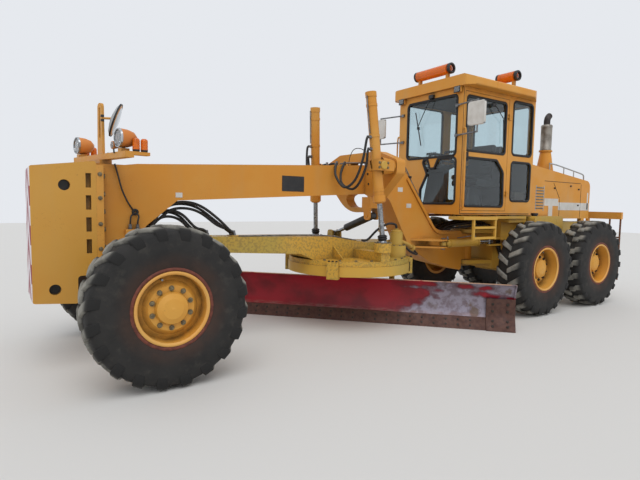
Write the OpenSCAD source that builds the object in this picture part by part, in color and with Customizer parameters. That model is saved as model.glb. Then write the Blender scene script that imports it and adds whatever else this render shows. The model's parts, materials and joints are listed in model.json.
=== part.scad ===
// Motor grader: articulated front frame with drawbar, circle and blade, and a
// rear frame with cab, engine hood and tandem drive.
// +X forward, +Y left, +Z up. The origin is on the ground under the middle of
// the machine. Profiles are lists of [x, z, corner radius] or [x, y, radius].

/* [Chassis] */
// Front axle to the middle of the tandem
wheel_base = 6120; // [6000:10:6240]
// Distance between the two tandem axles
tandem_spacing = 1520; // [1480:10:1560]
// Middle of the left tyres to the middle of the right tyres
track_w = 2060; // [2040:10:2120]
// Nose weight's front face ahead of the front axle
nose_reach = 950; // [930:10:1000]
// Rear bumper behind the middle of the tandem
tail_reach = 1950; // [1900:10:2020]
// Frame hinge ahead of the middle of the tandem
hitch_ahead = 1140; // [1100:10:1160]
// Diameter of the hinge pin between the frames
hitch_pin_d = 110; // [90:5:130]

/* [Wheels] */
// Outer diameter of a tyre over its lugs
tyre_d = 1370; // [1340:10:1380]
// Width of a tyre
tyre_w = 385; // [370:5:395]
// Tread lugs on each half of a tyre
lug_count = 20; // [16:1:22]
// Height of a tread lug
lug_h = 30; // [24:2:34]
// Outer diameter of a rim's flange
rim_d = 664; // [650:2:690]
// Wall of the rim's barrel
rim_wall = 14; // [10:1:20]
// Diameter of the stub axle that a wheel turns on
spindle_d = 90; // [80:2:100]

/* [Main beam] */
// Width of the main beam
beam_w = 320; // [300:5:340]
// Height of the beam's top at the front post
beam_top_front = 1922; // [1910:2:1940]
// Height of the beam's top at the lift saddle
beam_top_rear = 2060; // [2050:2:2075]
// Depth of the beam
beam_depth = 370; // [350:5:390]
// Length of the front post along the machine
post_l = 390; // [370:5:410]

/* [Nose weight] */
// Width of the nose weight
nose_w = 560; // [520:10:600]
// Height of the nose weight's underside
nose_bottom = 620; // [600:5:640]
// Height of the nose weight's top at its front
nose_top = 1860; // [1840:5:1880]

/* [Lift and drawbar] */
// Lift saddle behind the front axle
saddle_back = 2590; // [2560:10:2620]
// Lift cylinders' balls either side of the middle
lift_side = 734; // [724:2:744]
// Height of the lift cylinders' trunnions
trunnion_z = 2030; // [2020:5:2040]
// Outer diameter of a lift cylinder
lift_barrel_d = 124; // [112:2:130]
// Diameter of a lift cylinder's rod
lift_rod_d = 62; // [56:2:70]
// Height of the drawbar's front ball
ball_z = 1120; // [1110:5:1130]
// Drawbar's front ball behind the front axle
ball_back = 260; // [250:5:280]
// Circle's middle behind the front axle
circle_back = 2700; // [2680:10:2720]
// Outer diameter of the circle
circle_d = 1600; // [1560:10:1640]
// Number of teeth inside the circle
circle_teeth = 60; // [48:4:72]

/* [Blade] */
// Length of the blade
blade_l = 4270; // [4200:10:4300]
// Height of the blade over its cutting edge
blade_h = 600; // [580:5:610]
// Thickness of the moldboard
blade_t = 22; // [18:1:26]
// Angle of the blade from straight across the machine
blade_angle = 44; // [42:1:46]
// Width of the cutting edge
edge_h = 150; // [130:5:165]

/* [Cab] */
// Width of the cab
cab_w = 1240; // [1220:10:1260]
// Length of the cab
cab_l = 1680; // [1660:10:1700]
// Cab's front wall ahead of the frame hinge
cab_ahead = 850; // [830:10:860]
// Height of the cab's floor
cab_floor_z = 1450; // [1440:5:1460]
// Height of the cab's walls
cab_h = 1750; // [1730:10:1770]
// Thickness of the cab's walls and doors
cab_wall = 42; // [38:1:50]
// Width of the cab's roof
roof_w = 1580; // [1560:10:1620]
// Thickness of the cab's roof
roof_t = 150; // [135:5:160]

/* [Engine hood] */
// Width of the engine hood
hood_w = 1000; // [960:10:1040]
// Height of the hood's top behind the cab
hood_top_front = 2270; // [2250:5:2290]
// Height of the hood's top at the rear
hood_top_rear = 2050; // [2030:5:2080]
// Height of the hood's underside
hood_bottom = 1385; // [1380:5:1400]
// Thickness of the hood's plates
hood_wall = 20; // [16:1:26]

/* [Fits] */
// Gap between pieces that touch but are separate
seat_gap = 0.3; // [0.2:0.1:0.6]
// Gap round a pin or a spindle that turns
pin_gap = 0.6; // [0.4:0.1:0.8]
// Gap between flat faces that slide on each other
slide_gap = 0.5; // [0.4:0.1:0.8]
// Gap between pieces that move past each other
run_gap = 8; // [6:1:12]

/* [Hidden] */

$fn = 48;
yellow = "#e5a226";
old_yellow = "#c9a13a";
black = "#2a2a2c";
steel = "#8d8f92";
rubber = "#33322f";
red = "#a3202c";
rust = "#6e4632";
glass_tint = "#5f7880";
amber = "#d9701f";

overall_l = nose_reach + wheel_base + tail_reach;
front_x = overall_l / 2 - nose_reach;
tandem_x = front_x - wheel_base;
tail_x = tandem_x - tail_reach;
hitch_x = tandem_x + hitch_ahead;
axle_z = tyre_d / 2;
wheel_y = track_w / 2;
saddle_x = front_x - saddle_back;
ball_x = front_x - ball_back;
circle_x = front_x - circle_back;

// Frame hinge
hitch_low = 700;
hitch_high = 1180;
fork_t = 56;
fork_r = 150;

// Nose weight and front post
nose_front = front_x + nose_reach;
nose_back = nose_front - 530;
post_front = nose_back - seat_gap;
post_back = post_front - post_l;
post_top = 1905;
axle_up = 114;
post_bottom = axle_z + axle_up + seat_gap;

// Lift cylinders and the drawbar's lift point
lift_x = saddle_x - 65;
lift_ball_z = 1110;
lift_ball_r = 52;
lift_low_z = 1600;
lift_piston_z = 2300;
// From the ball to the barrel's top: the cylinders lean forward and inward
lift_lean = [135, -137, 1780];
lift_reach = norm(lift_lean);
function lift_at(z) = (z - lift_ball_z) * lift_reach / lift_lean.z;
trunnion = [lift_x, lift_side, lift_ball_z] + lift_lean / lift_lean.z * (trunnion_z - lift_ball_z);

// Arch round the beam that carries the lift cylinders
arch_t = 140;
arch_x = saddle_x - 370;
beam_under = beam_top_rear - beam_depth;
arch_low = beam_under - 230;

// Drawbar and circle
ball_r = 55;
drawbar_w = 520;
plate_z = 830;
plate_t = 60;
plate_top = plate_z + plate_t;
circle_top = plate_z - slide_gap;
circle_t = 120;
circle_bottom = circle_top - circle_t;
circle_ring_w = 120;
// The blade's arms stand this far inside the circle's edge
arm_y = circle_d / 2 - 240;

// Moldboard profile, in the blade's own plane
board_r = 430;
board_back = 132;

// Kingpins and front axle
kingpin_y = wheel_y - 235;
kingpin_d = 56;
arm_back = 200;
arm_w = 52;
axle_end = kingpin_y - 100;
tie_z = axle_z + 60;
tie_d = 48;

// Frame hinge cylinders
hinge_cyl_y = 400;
hinge_cyl_z = 1030;
hinge_cyl_front = hitch_x + 900;
hinge_cyl_back = hitch_x - 140;
hinge_barrel_d = 114;
hinge_rod_d = 56;
hinge_eye_r = 48;

// Rails of the rear frame
rail_low = 1050;
rail_top = 1330;

// Centre shift cylinder
shift_x = front_x - 2750;
shift_top = [400, 1424];
shift_low = [-400, 1160];
shift_barrel_d = 96;
shift_rod_d = 48;

// Cab
cab_front = hitch_x + cab_ahead;
cab_back = cab_front - cab_l;
cab_top_z = cab_floor_z + cab_h;
cab_side = cab_w / 2;
cab_sill = 60;
door_front = cab_front - 50;
door_back = door_front - 970;
door_low = cab_floor_z + cab_sill;
door_high = cab_top_z - 60;
door_gap = 6;
pane_t = 8;

// Hood
hood_front = cab_back - 60;
hood_back = tail_x + 260;

// Lamp bar on the front post, turned a little as in the photo
lamp_x = front_x + 327;
bar_turn = 12;
bar_top = post_top + 95;
lamp_span = 620;
lamp_y = 500;

// Rear bumper
bumper_low = 1385;

// Corner of a profile as an arc of radius r between the lines to a and to c
function unit(v) = v / norm(v);
function arc_corner(a, b, c, r, steps = 6) =
    r <= 0 ? [b] :
    let (u = unit(a - b), v = unit(c - b),
         half = acos(max(-1, min(1, u * v))) / 2,
         centre = b + unit(u + v) * r / sin(half),
         start = b + u * r / tan(half) - centre,
         stop = b + v * r / tan(half) - centre,
         from = atan2(start.y, start.x),
         turn = ((atan2(stop.y, stop.x) - from + 540) % 360) - 180)
    [for (i = [0:steps]) centre + r * [cos(from + turn * i / steps), sin(from + turn * i / steps)]];

// Outline whose points are [a, b, radius]
function rounded(points) =
    [for (i = [0:len(points) - 1])
        let (n = len(points), before = points[(i + n - 1) % n], here = points[i],
            after = points[(i + 1) % n])
        each arc_corner([before.x, before.y], [here.x, here.y], [after.x, after.y], here.z)];

// Plate whose outline lies in the XZ plane, from y - t / 2 to y + t / 2
module side_plate(points, y, t) {
    translate([0, y + t / 2, 0]) rotate([90, 0, 0]) linear_extrude(t) polygon(rounded(points));
}

// Plate whose outline lies in the XY plane
module flat_plate(points, z, t) {
    translate([0, 0, z]) linear_extrude(t) polygon(rounded(points));
}

// Plate whose outline lies in the YZ plane, from x to x + t
module cross_plate(points, x, t) {
    translate([x, 0, 0]) rotate([90, 0, 90]) linear_extrude(t) polygon(rounded(points));
}

// Round bar between two points
module bar(from, to, d) {
    v = to - from;
    translate(from) rotate([0, acos(v.z / norm(v)), atan2(v.y, v.x)]) cylinder(d = d, h = norm(v));
}

module bar_y(x, z, y0, y1, d) {
    translate([x, y0, z]) rotate([-90, 0, 0]) cylinder(d = d, h = y1 - y0);
}

module box(low, high) {
    translate(low) cube(high - low);
}

module both_sides() {
    children();
    mirror([0, 1, 0]) children();
}

function beam_top_at(x) =
    beam_top_front + (beam_top_rear - beam_top_front) * (post_back - x) / (post_back - saddle_x);

// Front frame: post, box beam, gooseneck and hinge tongue, in one profile
module front_frame() {
    color(yellow) difference() {
        union() {
            side_plate([
                [post_front, post_top, 20],
                [post_back + 120, post_top, 0],
                [post_back, beam_top_front, 30],
                [saddle_x, beam_top_rear, 0],
                [hitch_x + 1520, 2130, 260],
                [hitch_x + 790, 1205, 260],
                [hitch_x + fork_r + 60, 1190, 60],
                [hitch_x + fork_r + 60, 575, 40],
                [hitch_x + 880, 735, 300],
                [hitch_x + 1320, 960, 420],
                [hitch_x + 1770, 1720, 260],
                [saddle_x, beam_under, 0],
                [post_back - 390, beam_top_at(post_back - 390) - beam_depth, 60],
                [post_back - 60, 1300, 80],
                [post_back - 60, post_bottom, 0],
                [post_front, post_bottom, 0]], 0, beam_w);
            hitch_tongue();
            both_sides() hinge_cylinder_bracket();
            // Plate that the nose weight is bolted to
            box([post_front - 62, -nose_w / 2, 900], [post_front, nose_w / 2, post_top - 20]);
        }
        hitch_bore();
    }
    color(yellow) both_sides() gooseneck_rail();
    color(yellow) ball_bracket();
}

module hitch_tongue() {
    low = hitch_low + fork_t / 2 + run_gap;
    high = hitch_high - fork_t / 2 - run_gap;
    translate([hitch_x, 0, low]) cylinder(r = fork_r - 10, h = high - low);
    box([hitch_x, -fork_r + 30, low], [hitch_x + 300, fork_r - 30, high]);
}

module hitch_bore() {
    translate([hitch_x, 0, hitch_low]) cylinder(d = hitch_pin_d + 2 * pin_gap, h = hitch_high - hitch_low);
}

// Raised edge that follows the gooseneck's side
module gooseneck_rail() {
    side_plate([
        [hitch_x + 1390, 1942, 0],
        [hitch_x + 795, 1189, 274],
        [hitch_x + 420, 1181, 0],
        [hitch_x + 420, 1141, 0],
        [hitch_x + 815, 1149, 314],
        [hitch_x + 1421, 1917, 0]], beam_w / 2 + 9, 28);
}

// Arm on the gooseneck that holds a frame hinge cylinder's front eye
module hinge_cylinder_bracket() {
    for (side = [-1, 1])
        translate([0, 0, hinge_cyl_z + side * (hinge_eye_r / 2 + 26) - 12])
            linear_extrude(24) polygon(rounded([
                [hinge_cyl_front + 420, beam_w / 2 - 10, 0],
                [hinge_cyl_front + 60, hinge_cyl_y + 60, 50],
                [hinge_cyl_front - 55, hinge_cyl_y + 60, 50],
                [hinge_cyl_front - 55, hinge_cyl_y - 60, 30],
                [hinge_cyl_front + 60, beam_w / 2 - 10, 0]]));
    translate([hinge_cyl_front, hinge_cyl_y, hinge_cyl_z - 70]) cylinder(d = 40, h = 140);
}

// Housing behind the post that the drawbar's ball turns in
module ball_bracket() {
    difference() {
        side_plate([
            [post_back - 40, ball_z + 150, 0],
            [ball_x + 30, ball_z + 105, 30],
            [ball_x - 20, ball_z + 80, 20],
            [ball_x - 20, ball_z - 80, 20],
            [ball_x + 30, ball_z - 105, 30],
            [post_back - 40, ball_z - 150, 0]], 0, 180);
        translate([ball_x, 0, ball_z]) sphere(r = ball_r + pin_gap);
    }
}

// Cast weight bolted to the front post
module nose_weight() {
    color(yellow) difference() {
            side_plate([
                [nose_front, nose_bottom + 30, 30],
                [nose_front, nose_top - 12, 25],
                [nose_back, post_top + 14, 20],
                [nose_back, 873, 0],
                [nose_back + 165, 873, 30],
                [nose_back + 165, nose_bottom, 20]], 0, nose_w);
        // Four pockets and two lifting holes in each side
        both_sides() {
            for (i = [0:3])
                box([nose_back + 45, nose_w / 2 - 60, 1075 + i * 200],
                    [nose_back + 89, nose_w / 2 + 1, 1205 + i * 200]);
            for (hole = [[nose_front - 268, 1693], [nose_front - 181, 761]])
                bar_y(hole.x, hole.y, nose_w / 2 - 60, nose_w / 2 + 1, 96);
        }
    }
}

// Arch round the beam that carries the lift cylinders
module lift_saddle() {
    in_y = beam_w / 2 + seat_gap;
    wing = trunnion.y + 97;
    color(yellow) difference() {
        union() {
            cross_plate([
                [-215, arch_low, 540],
                [215, arch_low, 540],
                [wing, trunnion_z - 80, 50],
                [wing, trunnion_z + 80, 50],
                [400, trunnion_z + 210, 120],
                [-400, trunnion_z + 210, 120],
                [-wing, trunnion_z + 80, 50],
                [-wing, trunnion_z - 80, 50]], arch_x, arch_t);
            both_sides() saddle_arm();
        }
        // The beam's way through, and the opening below it
        box([arch_x - 10, -in_y, beam_under - 60], [arch_x + arch_t + 10, in_y, beam_top_rear + 62]);
        cross_plate([
            [-in_y + 1, beam_under + 10, 0],
            [-270, beam_under - 30, 50],
            [-150, arch_low + 66, 130],
            [150, arch_low + 66, 130],
            [270, beam_under - 30, 50],
            [in_y - 1, beam_under + 10, 0]], arch_x - 10, arch_t + 20);
        both_sides() along_lift() {
            translate([0, 0, lift_at(trunnion_z) - 140]) cylinder(d = lift_barrel_d + 4 * run_gap, h = 280);
            bar_y(0, lift_at(trunnion_z), -200, 200, trunnion_d + 2 * pin_gap);
        }
    }
    color(yellow) shift_top_lugs();
}

// Lugs on the arch's foot for the centre shift cylinder's upper pin
module shift_top_lugs() {
    reach = shift_barrel_d / 2 + 10;
    high = arch_low + 200;
    for (x = [shift_x - reach - 24, shift_x + reach])
        cross_plate([
            [shift_top.x - 50, shift_top.y - 50, 40],
            [shift_top.x + 50, shift_top.y - 50, 40],
            [shift_top.x + 60, high, 0],
            [shift_top.x - 100, high, 0]], x, 24);
    box([arch_x + arch_t - 40, shift_top.x - 100, high - 140],
        [shift_x + reach + 24, shift_top.x + 60, high]);
    translate([shift_x - reach - 30, shift_top.x, shift_top.y]) rotate([0, 90, 0])
        cylinder(d = 40, h = 2 * reach + 60);
}

// Tapered tube from the arch to a lift cylinder, with a yoke round its trunnion
module saddle_arm() {
    translate([arch_x, trunnion.y, trunnion_z]) rotate([0, 90, 0])
        cylinder(d1 = 130, d2 = 216, h = trunnion.x - 45 - arch_x);
    flat_plate([
        [trunnion.x - 185, trunnion.y - 130, 40],
        [trunnion.x + 75, trunnion.y - 130, 25],
        [trunnion.x + 75, trunnion.y + 130, 25],
        [trunnion.x - 185, trunnion.y + 130, 40]], trunnion_z - 62, 124);
}

// Local frame of the left lift cylinder: +Z from its ball to the barrel's top
module along_lift() {
    translate([lift_x, lift_side, lift_ball_z])
        rotate([asin(-lift_lean.y / lift_reach), atan2(lift_lean.x, lift_lean.z), 0]) children();
}
trunnion_d = 60;

// Bar with the lamps' brackets across the front post's top
module light_bar() {
    color(yellow) on_lamp_bar() {
        box([-40, -lamp_span, bar_top - 55], [40, lamp_span, bar_top]);
        box([-55, -110, post_top + seat_gap], [60, 110, bar_top - 54]);
        both_sides() {
            box([-40, lamp_y - 30, bar_top - 1], [40, lamp_y + 30, bar_top + 30]);
            // Rear arm with the turn lamps
            box([-190, lamp_span - 70, bar_top - 30], [-39, lamp_span, bar_top]);
        }
    }
}

// Stands a piece on the lamp bar
module on_lamp_bar() {
    translate([lamp_x, 0, 0]) rotate([0, 0, bar_turn]) children();
}

// Two headlamps and two pairs of turn lamps
module headlamps() {
    stem_z = bar_top + 30 + seat_gap;
    on_lamp_bar() both_sides() {
        color(yellow) translate([0, lamp_y, stem_z + 88]) rotate([0, 90, 0])
            rotate_extrude() polygon([
                [0, -120], [30, -115], [62, -85], [80, -30], [85, 35], [78, 50], [0, 50]]);
        color(yellow) translate([0, lamp_y, stem_z]) cylinder(d = 30, h = 30);
        color(amber) for (i = [0, 1])
            translate([-75 - 76 * i, lamp_span - 35, bar_top + seat_gap]) cylinder(d = 64, h = 120);
    }
}

// Slotted post with a round convex mirror
module nose_mirror() {
    high = bar_top + 490;
    arm_z = bar_top + 345;
    on_lamp_bar() {
        color(yellow) difference() {
            cross_plate([
                [-60, bar_top + seat_gap, 0],
                [60, bar_top + seat_gap, 0],
                [48, high, 40],
                [-48, high, 40]], -12, 24);
            cross_plate([[-18, bar_top + 160, 17], [18, bar_top + 160, 17],
                [16, high - 40, 15], [-16, high - 40, 15]], -20, 40);
        }
        color(steel) {
            bar([0, 38, arm_z], [-70, 95, arm_z], 22);
            translate([-62, 90, arm_z]) rotate([0, -110, -27])
                rotate_extrude() polygon([
                    [0, 0], [60, 4], [130, 20], [160, 40], [160, 48], [110, 62], [0, 70]]);
        }
    }
}

// Front axle with the kingpins' forks
module front_axle() {
    color(yellow) {
        cross_plate([
            [-axle_end, axle_z - 80, 20],
            [-280, axle_z - 110, 60],
            [280, axle_z - 110, 60],
            [axle_end, axle_z - 80, 20],
            [axle_end, axle_z + 80, 20],
            [300, axle_z + axle_up, 60],
            [-300, axle_z + axle_up, 60],
            [-axle_end, axle_z + 80, 20]], front_x - 75, 150);
        both_sides() {
            for (level = [-1, 1])
                translate([0, 0, axle_z + level * 115 - 20]) linear_extrude(40) polygon(rounded([
                    [front_x - 70, kingpin_y - 120, 0],
                    [front_x + 70, kingpin_y - 120, 0],
                    [front_x + 60, kingpin_y + 50, 50],
                    [front_x - 60, kingpin_y + 50, 50]]));
            box([front_x - 45, axle_end - 30, axle_z - 135], [front_x + 45, axle_end + 5, axle_z + 135]);
            translate([front_x, kingpin_y, axle_z - 140]) cylinder(d = kingpin_d, h = 280);
        }
    }
}

// Steering knuckle with its stub axle and steering arm
module knuckle() {
    color(old_yellow) difference() {
        union() {
            translate([front_x, kingpin_y, axle_z - 95 + run_gap]) cylinder(r = 62, h = 190 - 2 * run_gap);
            bar_y(front_x, axle_z, kingpin_y, wheel_y + 70, spindle_d);
            bar_y(front_x, axle_z, kingpin_y, wheel_y - 120, spindle_d + 50);
            // Arm that runs back to the tie rod
            flat_plate([
                [front_x + 20, kingpin_y - arm_w / 2, 0],
                [front_x - arm_back - 35, kingpin_y - arm_w / 2, 22],
                [front_x - arm_back - 35, kingpin_y + arm_w / 2, 22],
                [front_x + 20, kingpin_y + arm_w / 2, 0]], axle_z - 15, 30);
            translate([front_x - arm_back, kingpin_y, axle_z]) cylinder(d = 34, h = tie_z - axle_z + 20);
        }
        translate([front_x, kingpin_y, axle_z - 150]) cylinder(d = kingpin_d + 2 * pin_gap, h = 300);
    }
}

// Tie rod between the two steering arms
module tie_rod() {
    color(steel) difference() {
        union() {
            bar_y(front_x - arm_back, tie_z, -kingpin_y, kingpin_y, tie_d);
            both_sides() translate([front_x - arm_back, kingpin_y, tie_z - 30]) cylinder(d = 72, h = 60);
        }
        both_sides() translate([front_x - arm_back, kingpin_y, tie_z - 40])
            cylinder(d = 34 + 2 * pin_gap, h = 80);
    }
}

// Rim: barrel with flanges, and a dished disc with a hub. Profile is [radius, y]
// with y positive outwards from the tyre's middle.
module rim(hub_y) {
    flange = rim_d / 2;
    seat = flange - 30;
    half = tyre_w / 2 - 18;
    bore = spindle_d / 2 + pin_gap;
    rotate([-90, 0, 0]) rotate_extrude(convexity = 4) polygon([
        [bore, hub_y - 150],
        [120, hub_y - 150],
        [120, hub_y - 50],
        [seat - 60, hub_y - 80],
        [seat - rim_wall, hub_y - 100],
        [seat - rim_wall, -half],
        [flange, -half],
        [flange, -half + 12],
        [seat, -half + 20],
        [seat, half - 20],
        [flange, half - 12],
        [flange, half],
        [seat - rim_wall, half - 6],
        [seat - rim_wall - 10, hub_y - 70],
        [seat - 70, hub_y - 50],
        [190, hub_y - 10],
        [142, hub_y - 10],
        [128, hub_y + 26],
        [84, hub_y + 46],
        [0, hub_y + 52],
        [0, hub_y + 8],
        [bore, hub_y + 8]]);
}

// Tyre: carcass, with slanted tread lugs on each half. Profile is [radius, y].
module tyre() {
    seat = rim_d / 2 - 30 + seat_gap;
    half = tyre_w / 2;
    body = tyre_d / 2 - lug_h;
    rotate([-90, 0, 0]) rotate_extrude($fn = 72, convexity = 4) polygon([
        [seat, -half + 42],
        [seat, half - 42],
        [rim_d / 2 + 8, half - 42],
        [rim_d / 2 + 20, half - 10],
        [body - 180, half],
        [body - 70, half - 3],
        [body - 20, half - 26],
        [body, half - 70],
        [body, -half + 70],
        [body - 20, -half + 26],
        [body - 70, -half + 3],
        [body - 180, -half],
        [rim_d / 2 + 20, -half + 10],
        [rim_d / 2 + 8, -half + 42]]);
    for (side = [0, 1], i = [0:lug_count - 1])
        rotate([0, (i + side / 2) * 360 / lug_count, 0]) mirror([0, side, 0]) tread_lug();
}

// Lug on one half of the tread, slanted and staggered against the other half
module tread_lug() {
    tip = tyre_d / 2 - 5;
    reach = tyre_w / 2 / cos(lug_slant);
    rotate([0, 0, lug_slant]) translate([-lug_w / 2, 0, 0]) rotate([90, 0, 90])
        linear_extrude(lug_w) polygon([
        [8, tip - lug_h - 8],
        [8, tip],
        [reach - 62, tip],
        [reach - 30, tip - 14],
        [reach - 12, tip - 70],
        [reach - 24, tip - lug_h - 70],
        [reach - 80, tip - lug_h - 12]]);
}
lug_w = 56;
lug_slant = 28;

// Stands a wheel piece that faces +Y at an axle, mirrored on the right
module at_wheel(x, side) {
    translate([x, side * wheel_y, axle_z]) if (side > 0) children(); else mirror([0, 1, 0]) children();
}

front_hub_y = 130;
rear_hub_y = 70;
module front_rim(side) { color(yellow) at_wheel(front_x, side) rim(front_hub_y); }
module rear_rim(x, side) { color(yellow) at_wheel(x, side) rim(rear_hub_y); }
module wheel_tyre(x, side) { color(rubber) at_wheel(x, side) tyre(); }

// Rear frame: hinge fork, two rails, cross members and the tandem axle housing
module rear_frame() {
    rail_y = 400;
    box_back = hitch_x - 620;
    color(yellow) {
        for (level = [hitch_low, hitch_high])
            flat_plate([
                [hitch_x + fork_r, -fork_r, fork_r - 1],
                [hitch_x + fork_r, fork_r, fork_r - 1],
                [hitch_x - 320, 340, 0],
                [hitch_x - 320, -340, 0]], level - fork_t / 2, fork_t);
        box([box_back, -340, 600], [hitch_x - 300, 340, cab_floor_z - 90]);
        both_sides() {
            box([tail_x + 260, rail_y - 50, rail_low], [box_back + 10, rail_y + 50, rail_top]);
            box([box_back, 330, rail_low], [hitch_x - 340, rail_y + 50, rail_top]);
            hinge_cylinder_fork();
        }
        box([tail_x + 260, -rail_y, 1080], [tail_x + 330, rail_y, 1320]);
        // Cab carriers
        box([cab_back + 40, -cab_side + 40, cab_floor_z - 120],
            [hitch_x - 340, cab_side - 40, cab_floor_z - seat_gap]);
        // Axle housing across the tandems
        bar_y(tandem_x, axle_z, -tandem_y + tandem_case_w / 2, tandem_y - tandem_case_w / 2, 330);
        box([tandem_x - 260, -330, axle_z - 60], [tandem_x + 260, 330, 1100]);
        both_sides() box([tandem_x - 160, rail_y - 80, 900], [tandem_x + 160, rail_y + 40, 1060]);
        // Transmission under the cab
        side_plate([
            [box_back + 10, 1000, 0],
            [tandem_x + 380, 900, 60],
            [tandem_x + 380, 560, 60],
            [box_back + 10, 480, 60]], 0, 460);
    }
    color(steel) translate([hitch_x, 0, hitch_low - fork_t / 2 - 24])
        cylinder(d = hitch_pin_d, h = hitch_high - hitch_low + fork_t + 48);
}

// Plates that hold the frame hinge cylinder's rear eye
module hinge_cylinder_fork() {
    for (side = [-1, 1])
        flat_plate([
            [hinge_cyl_back + 55, hinge_cyl_y - 55, 50],
            [hinge_cyl_back + 55, hinge_cyl_y + 55, 50],
            [hitch_x - 360, hinge_cyl_y + 55, 0],
            [hitch_x - 360, 320, 0],
            [hinge_cyl_back - 60, 320, 30]],
            hinge_cyl_z + side * (hinge_eye_r / 2 + 26) - 12, 24);
}

tandem_case_w = 200;
tandem_y = wheel_y - tyre_w / 2 - 30 - tandem_case_w / 2;
// Tandem case with the two stub axles
module tandem_case(side) {
    color(yellow) at_tandem(side) {
        side_plate([
            [tandem_x + tandem_spacing / 2 + 200, 700, 190],
            [tandem_x + tandem_spacing / 2 + 120, 935, 120],
            [tandem_x, 960, 200],
            [tandem_x - tandem_spacing / 2 - 120, 935, 120],
            [tandem_x - tandem_spacing / 2 - 200, 700, 190],
            [tandem_x - tandem_spacing / 2 - 120, 500, 120],
            [tandem_x + tandem_spacing / 2 + 120, 500, 120]], tandem_y, tandem_case_w);
        for (end = [-1, 1])
            bar_y(tandem_x + end * tandem_spacing / 2, axle_z, tandem_y, wheel_y + rear_hub_y, spindle_d);
        for (end = [-1, 1])
            bar_y(tandem_x + end * tandem_spacing / 2, axle_z,
                tandem_y, tandem_y + tandem_case_w / 2 + 14, 300);
    }
}

module at_tandem(side) {
    if (side > 0) children(); else mirror([0, 1, 0]) children();
}

// Block that stands for the engine inside the hood
module engine() {
    color(steel) {
        box([hood_front - 1250, -330, cab_floor_z - 250], [hood_front - 250, 330, hood_top_rear - 70]);
        both_sides() box([hood_front - 1100, 300, rail_top + seat_gap], [hood_front - 950, 430, 1500]);
        both_sides() box([hood_front - 500, 300, rail_top + seat_gap], [hood_front - 350, 430, 1500]);
    }
}

// Engine hood: a shell open below, with the grille's opening at the rear
module hood() {
    top_f = hood_top_front;
    top_r = hood_top_rear;
    color(yellow) difference() {
        side_plate([
            [hood_front, hood_bottom, 0],
            [hood_front, top_f, 60],
            [hood_back, top_r, 120],
            [hood_back, hood_bottom, 0]], 0, hood_w);
        side_plate([
            [hood_front - hood_wall, hood_bottom - 10, 0],
            [hood_front - hood_wall, top_f - hood_wall, 50],
            [hood_back + hood_wall, top_r - hood_wall, 110],
            [hood_back + hood_wall, hood_bottom - 10, 0]], 0, hood_w - 2 * hood_wall);
        box([hood_back - 10, -hood_w / 2 + 110, hood_bottom + 60],
            [hood_back + hood_wall + 10, hood_w / 2 - 110, top_r - 130]);
        // Louvres behind the cab
        both_sides() for (i = [0:7])
            box([hood_front - 470, hood_w / 2 - hood_wall - 1, hood_bottom + 160 + i * 48],
                [hood_front - 270, hood_w / 2 + 1, hood_bottom + 182 + i * 48]);
    }
    // Radiator guard bars across the rear opening
    color(black) for (i = [0:9])
        box([hood_back + 2, -hood_w / 2 + 90, hood_bottom + 85 + i * 46],
            [hood_back + 14, hood_w / 2 - 90, hood_bottom + 105 + i * 46]);
    // Feet that stand on the rails
    color(yellow) both_sides() for (x = [hood_front - 200, hood_back + 200])
        box([x - 50, 430, rail_top + seat_gap], [x + 50, hood_w / 2, hood_bottom + 40]);
}

// Exhaust: tapered base with a flange, muffler and a tip that turns back
module exhaust() {
    back = 790;
    pipe_x = hood_front - back;
    pipe_y = 300;
    slope = atan((hood_top_front - hood_top_rear) / (hood_front - hood_back));
    base_z = hood_top_front - back * tan(slope) + seat_gap;
    neck_z = base_z + 360;
    top_z = neck_z + 440;
    color(yellow) translate([pipe_x, pipe_y, base_z]) rotate([0, -slope, 0]) cylinder(r = 150, h = 40);
    color(yellow) translate([pipe_x, pipe_y, base_z + 22])
        rotate_extrude() polygon([
            [0, 0], [135, 0], [135, 15], [86, 323], [106, 323], [106, 345], [0, 345]]);
    color(steel) translate([pipe_x, pipe_y, neck_z]) cylinder(r = 92, h = top_z - neck_z);
    color(black) translate([pipe_x, pipe_y, top_z - 10]) cylinder(r = 52, h = 70);
    color(black) translate([pipe_x - 110, pipe_y, top_z + 60]) rotate([90, 0, 0])
        rotate_extrude(angle = 65) translate([110, 0]) circle(r = 52, $fn = 32);
}

// Tanks and boxes between the rails and the rear wheels' tops
module side_tanks() {
    color(yellow) both_sides() {
        side_plate([
            [tandem_x - 480, 1090, 40],
            [tandem_x - 480, 1430, 60],
            [tandem_x + 320, 1430, 60],
            [tandem_x + 320, 1090, 40]], (hood_w / 2 + 710) / 2 + 5, 700 - hood_w / 2);
        box([tandem_x - 300, 450 + seat_gap, 1120], [tandem_x + 200, hood_w / 2 + 20, 1290]);
    }
}

// Bumper bar behind the hood
module rear_bumper() {
    depth = 60;
    color(yellow) {
        box([tail_x, -970, bumper_low], [tail_x + depth, 970, bumper_low + 125]);
        both_sides() {
            box([tail_x + depth, 350, 1180], [tail_x + 260 - seat_gap, 400, 1300]);
            box([tail_x, 350, 1180], [tail_x + depth, 400, bumper_low + 1]);
        }
    }
}

// Rear ladders behind the tyres, hung from the bumper
module rear_ladders() {
    rail_x = tail_x + 30;
    color(rust) both_sides() {
        for (y = [770, 950])
            bar([rail_x, y, 300], [rail_x, y, bumper_low - seat_gap], 30);
        for (z = [340, 580, 820, 1060])
            bar([rail_x, 770, z], [rail_x, 950, z], 26);
    }
}

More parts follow.
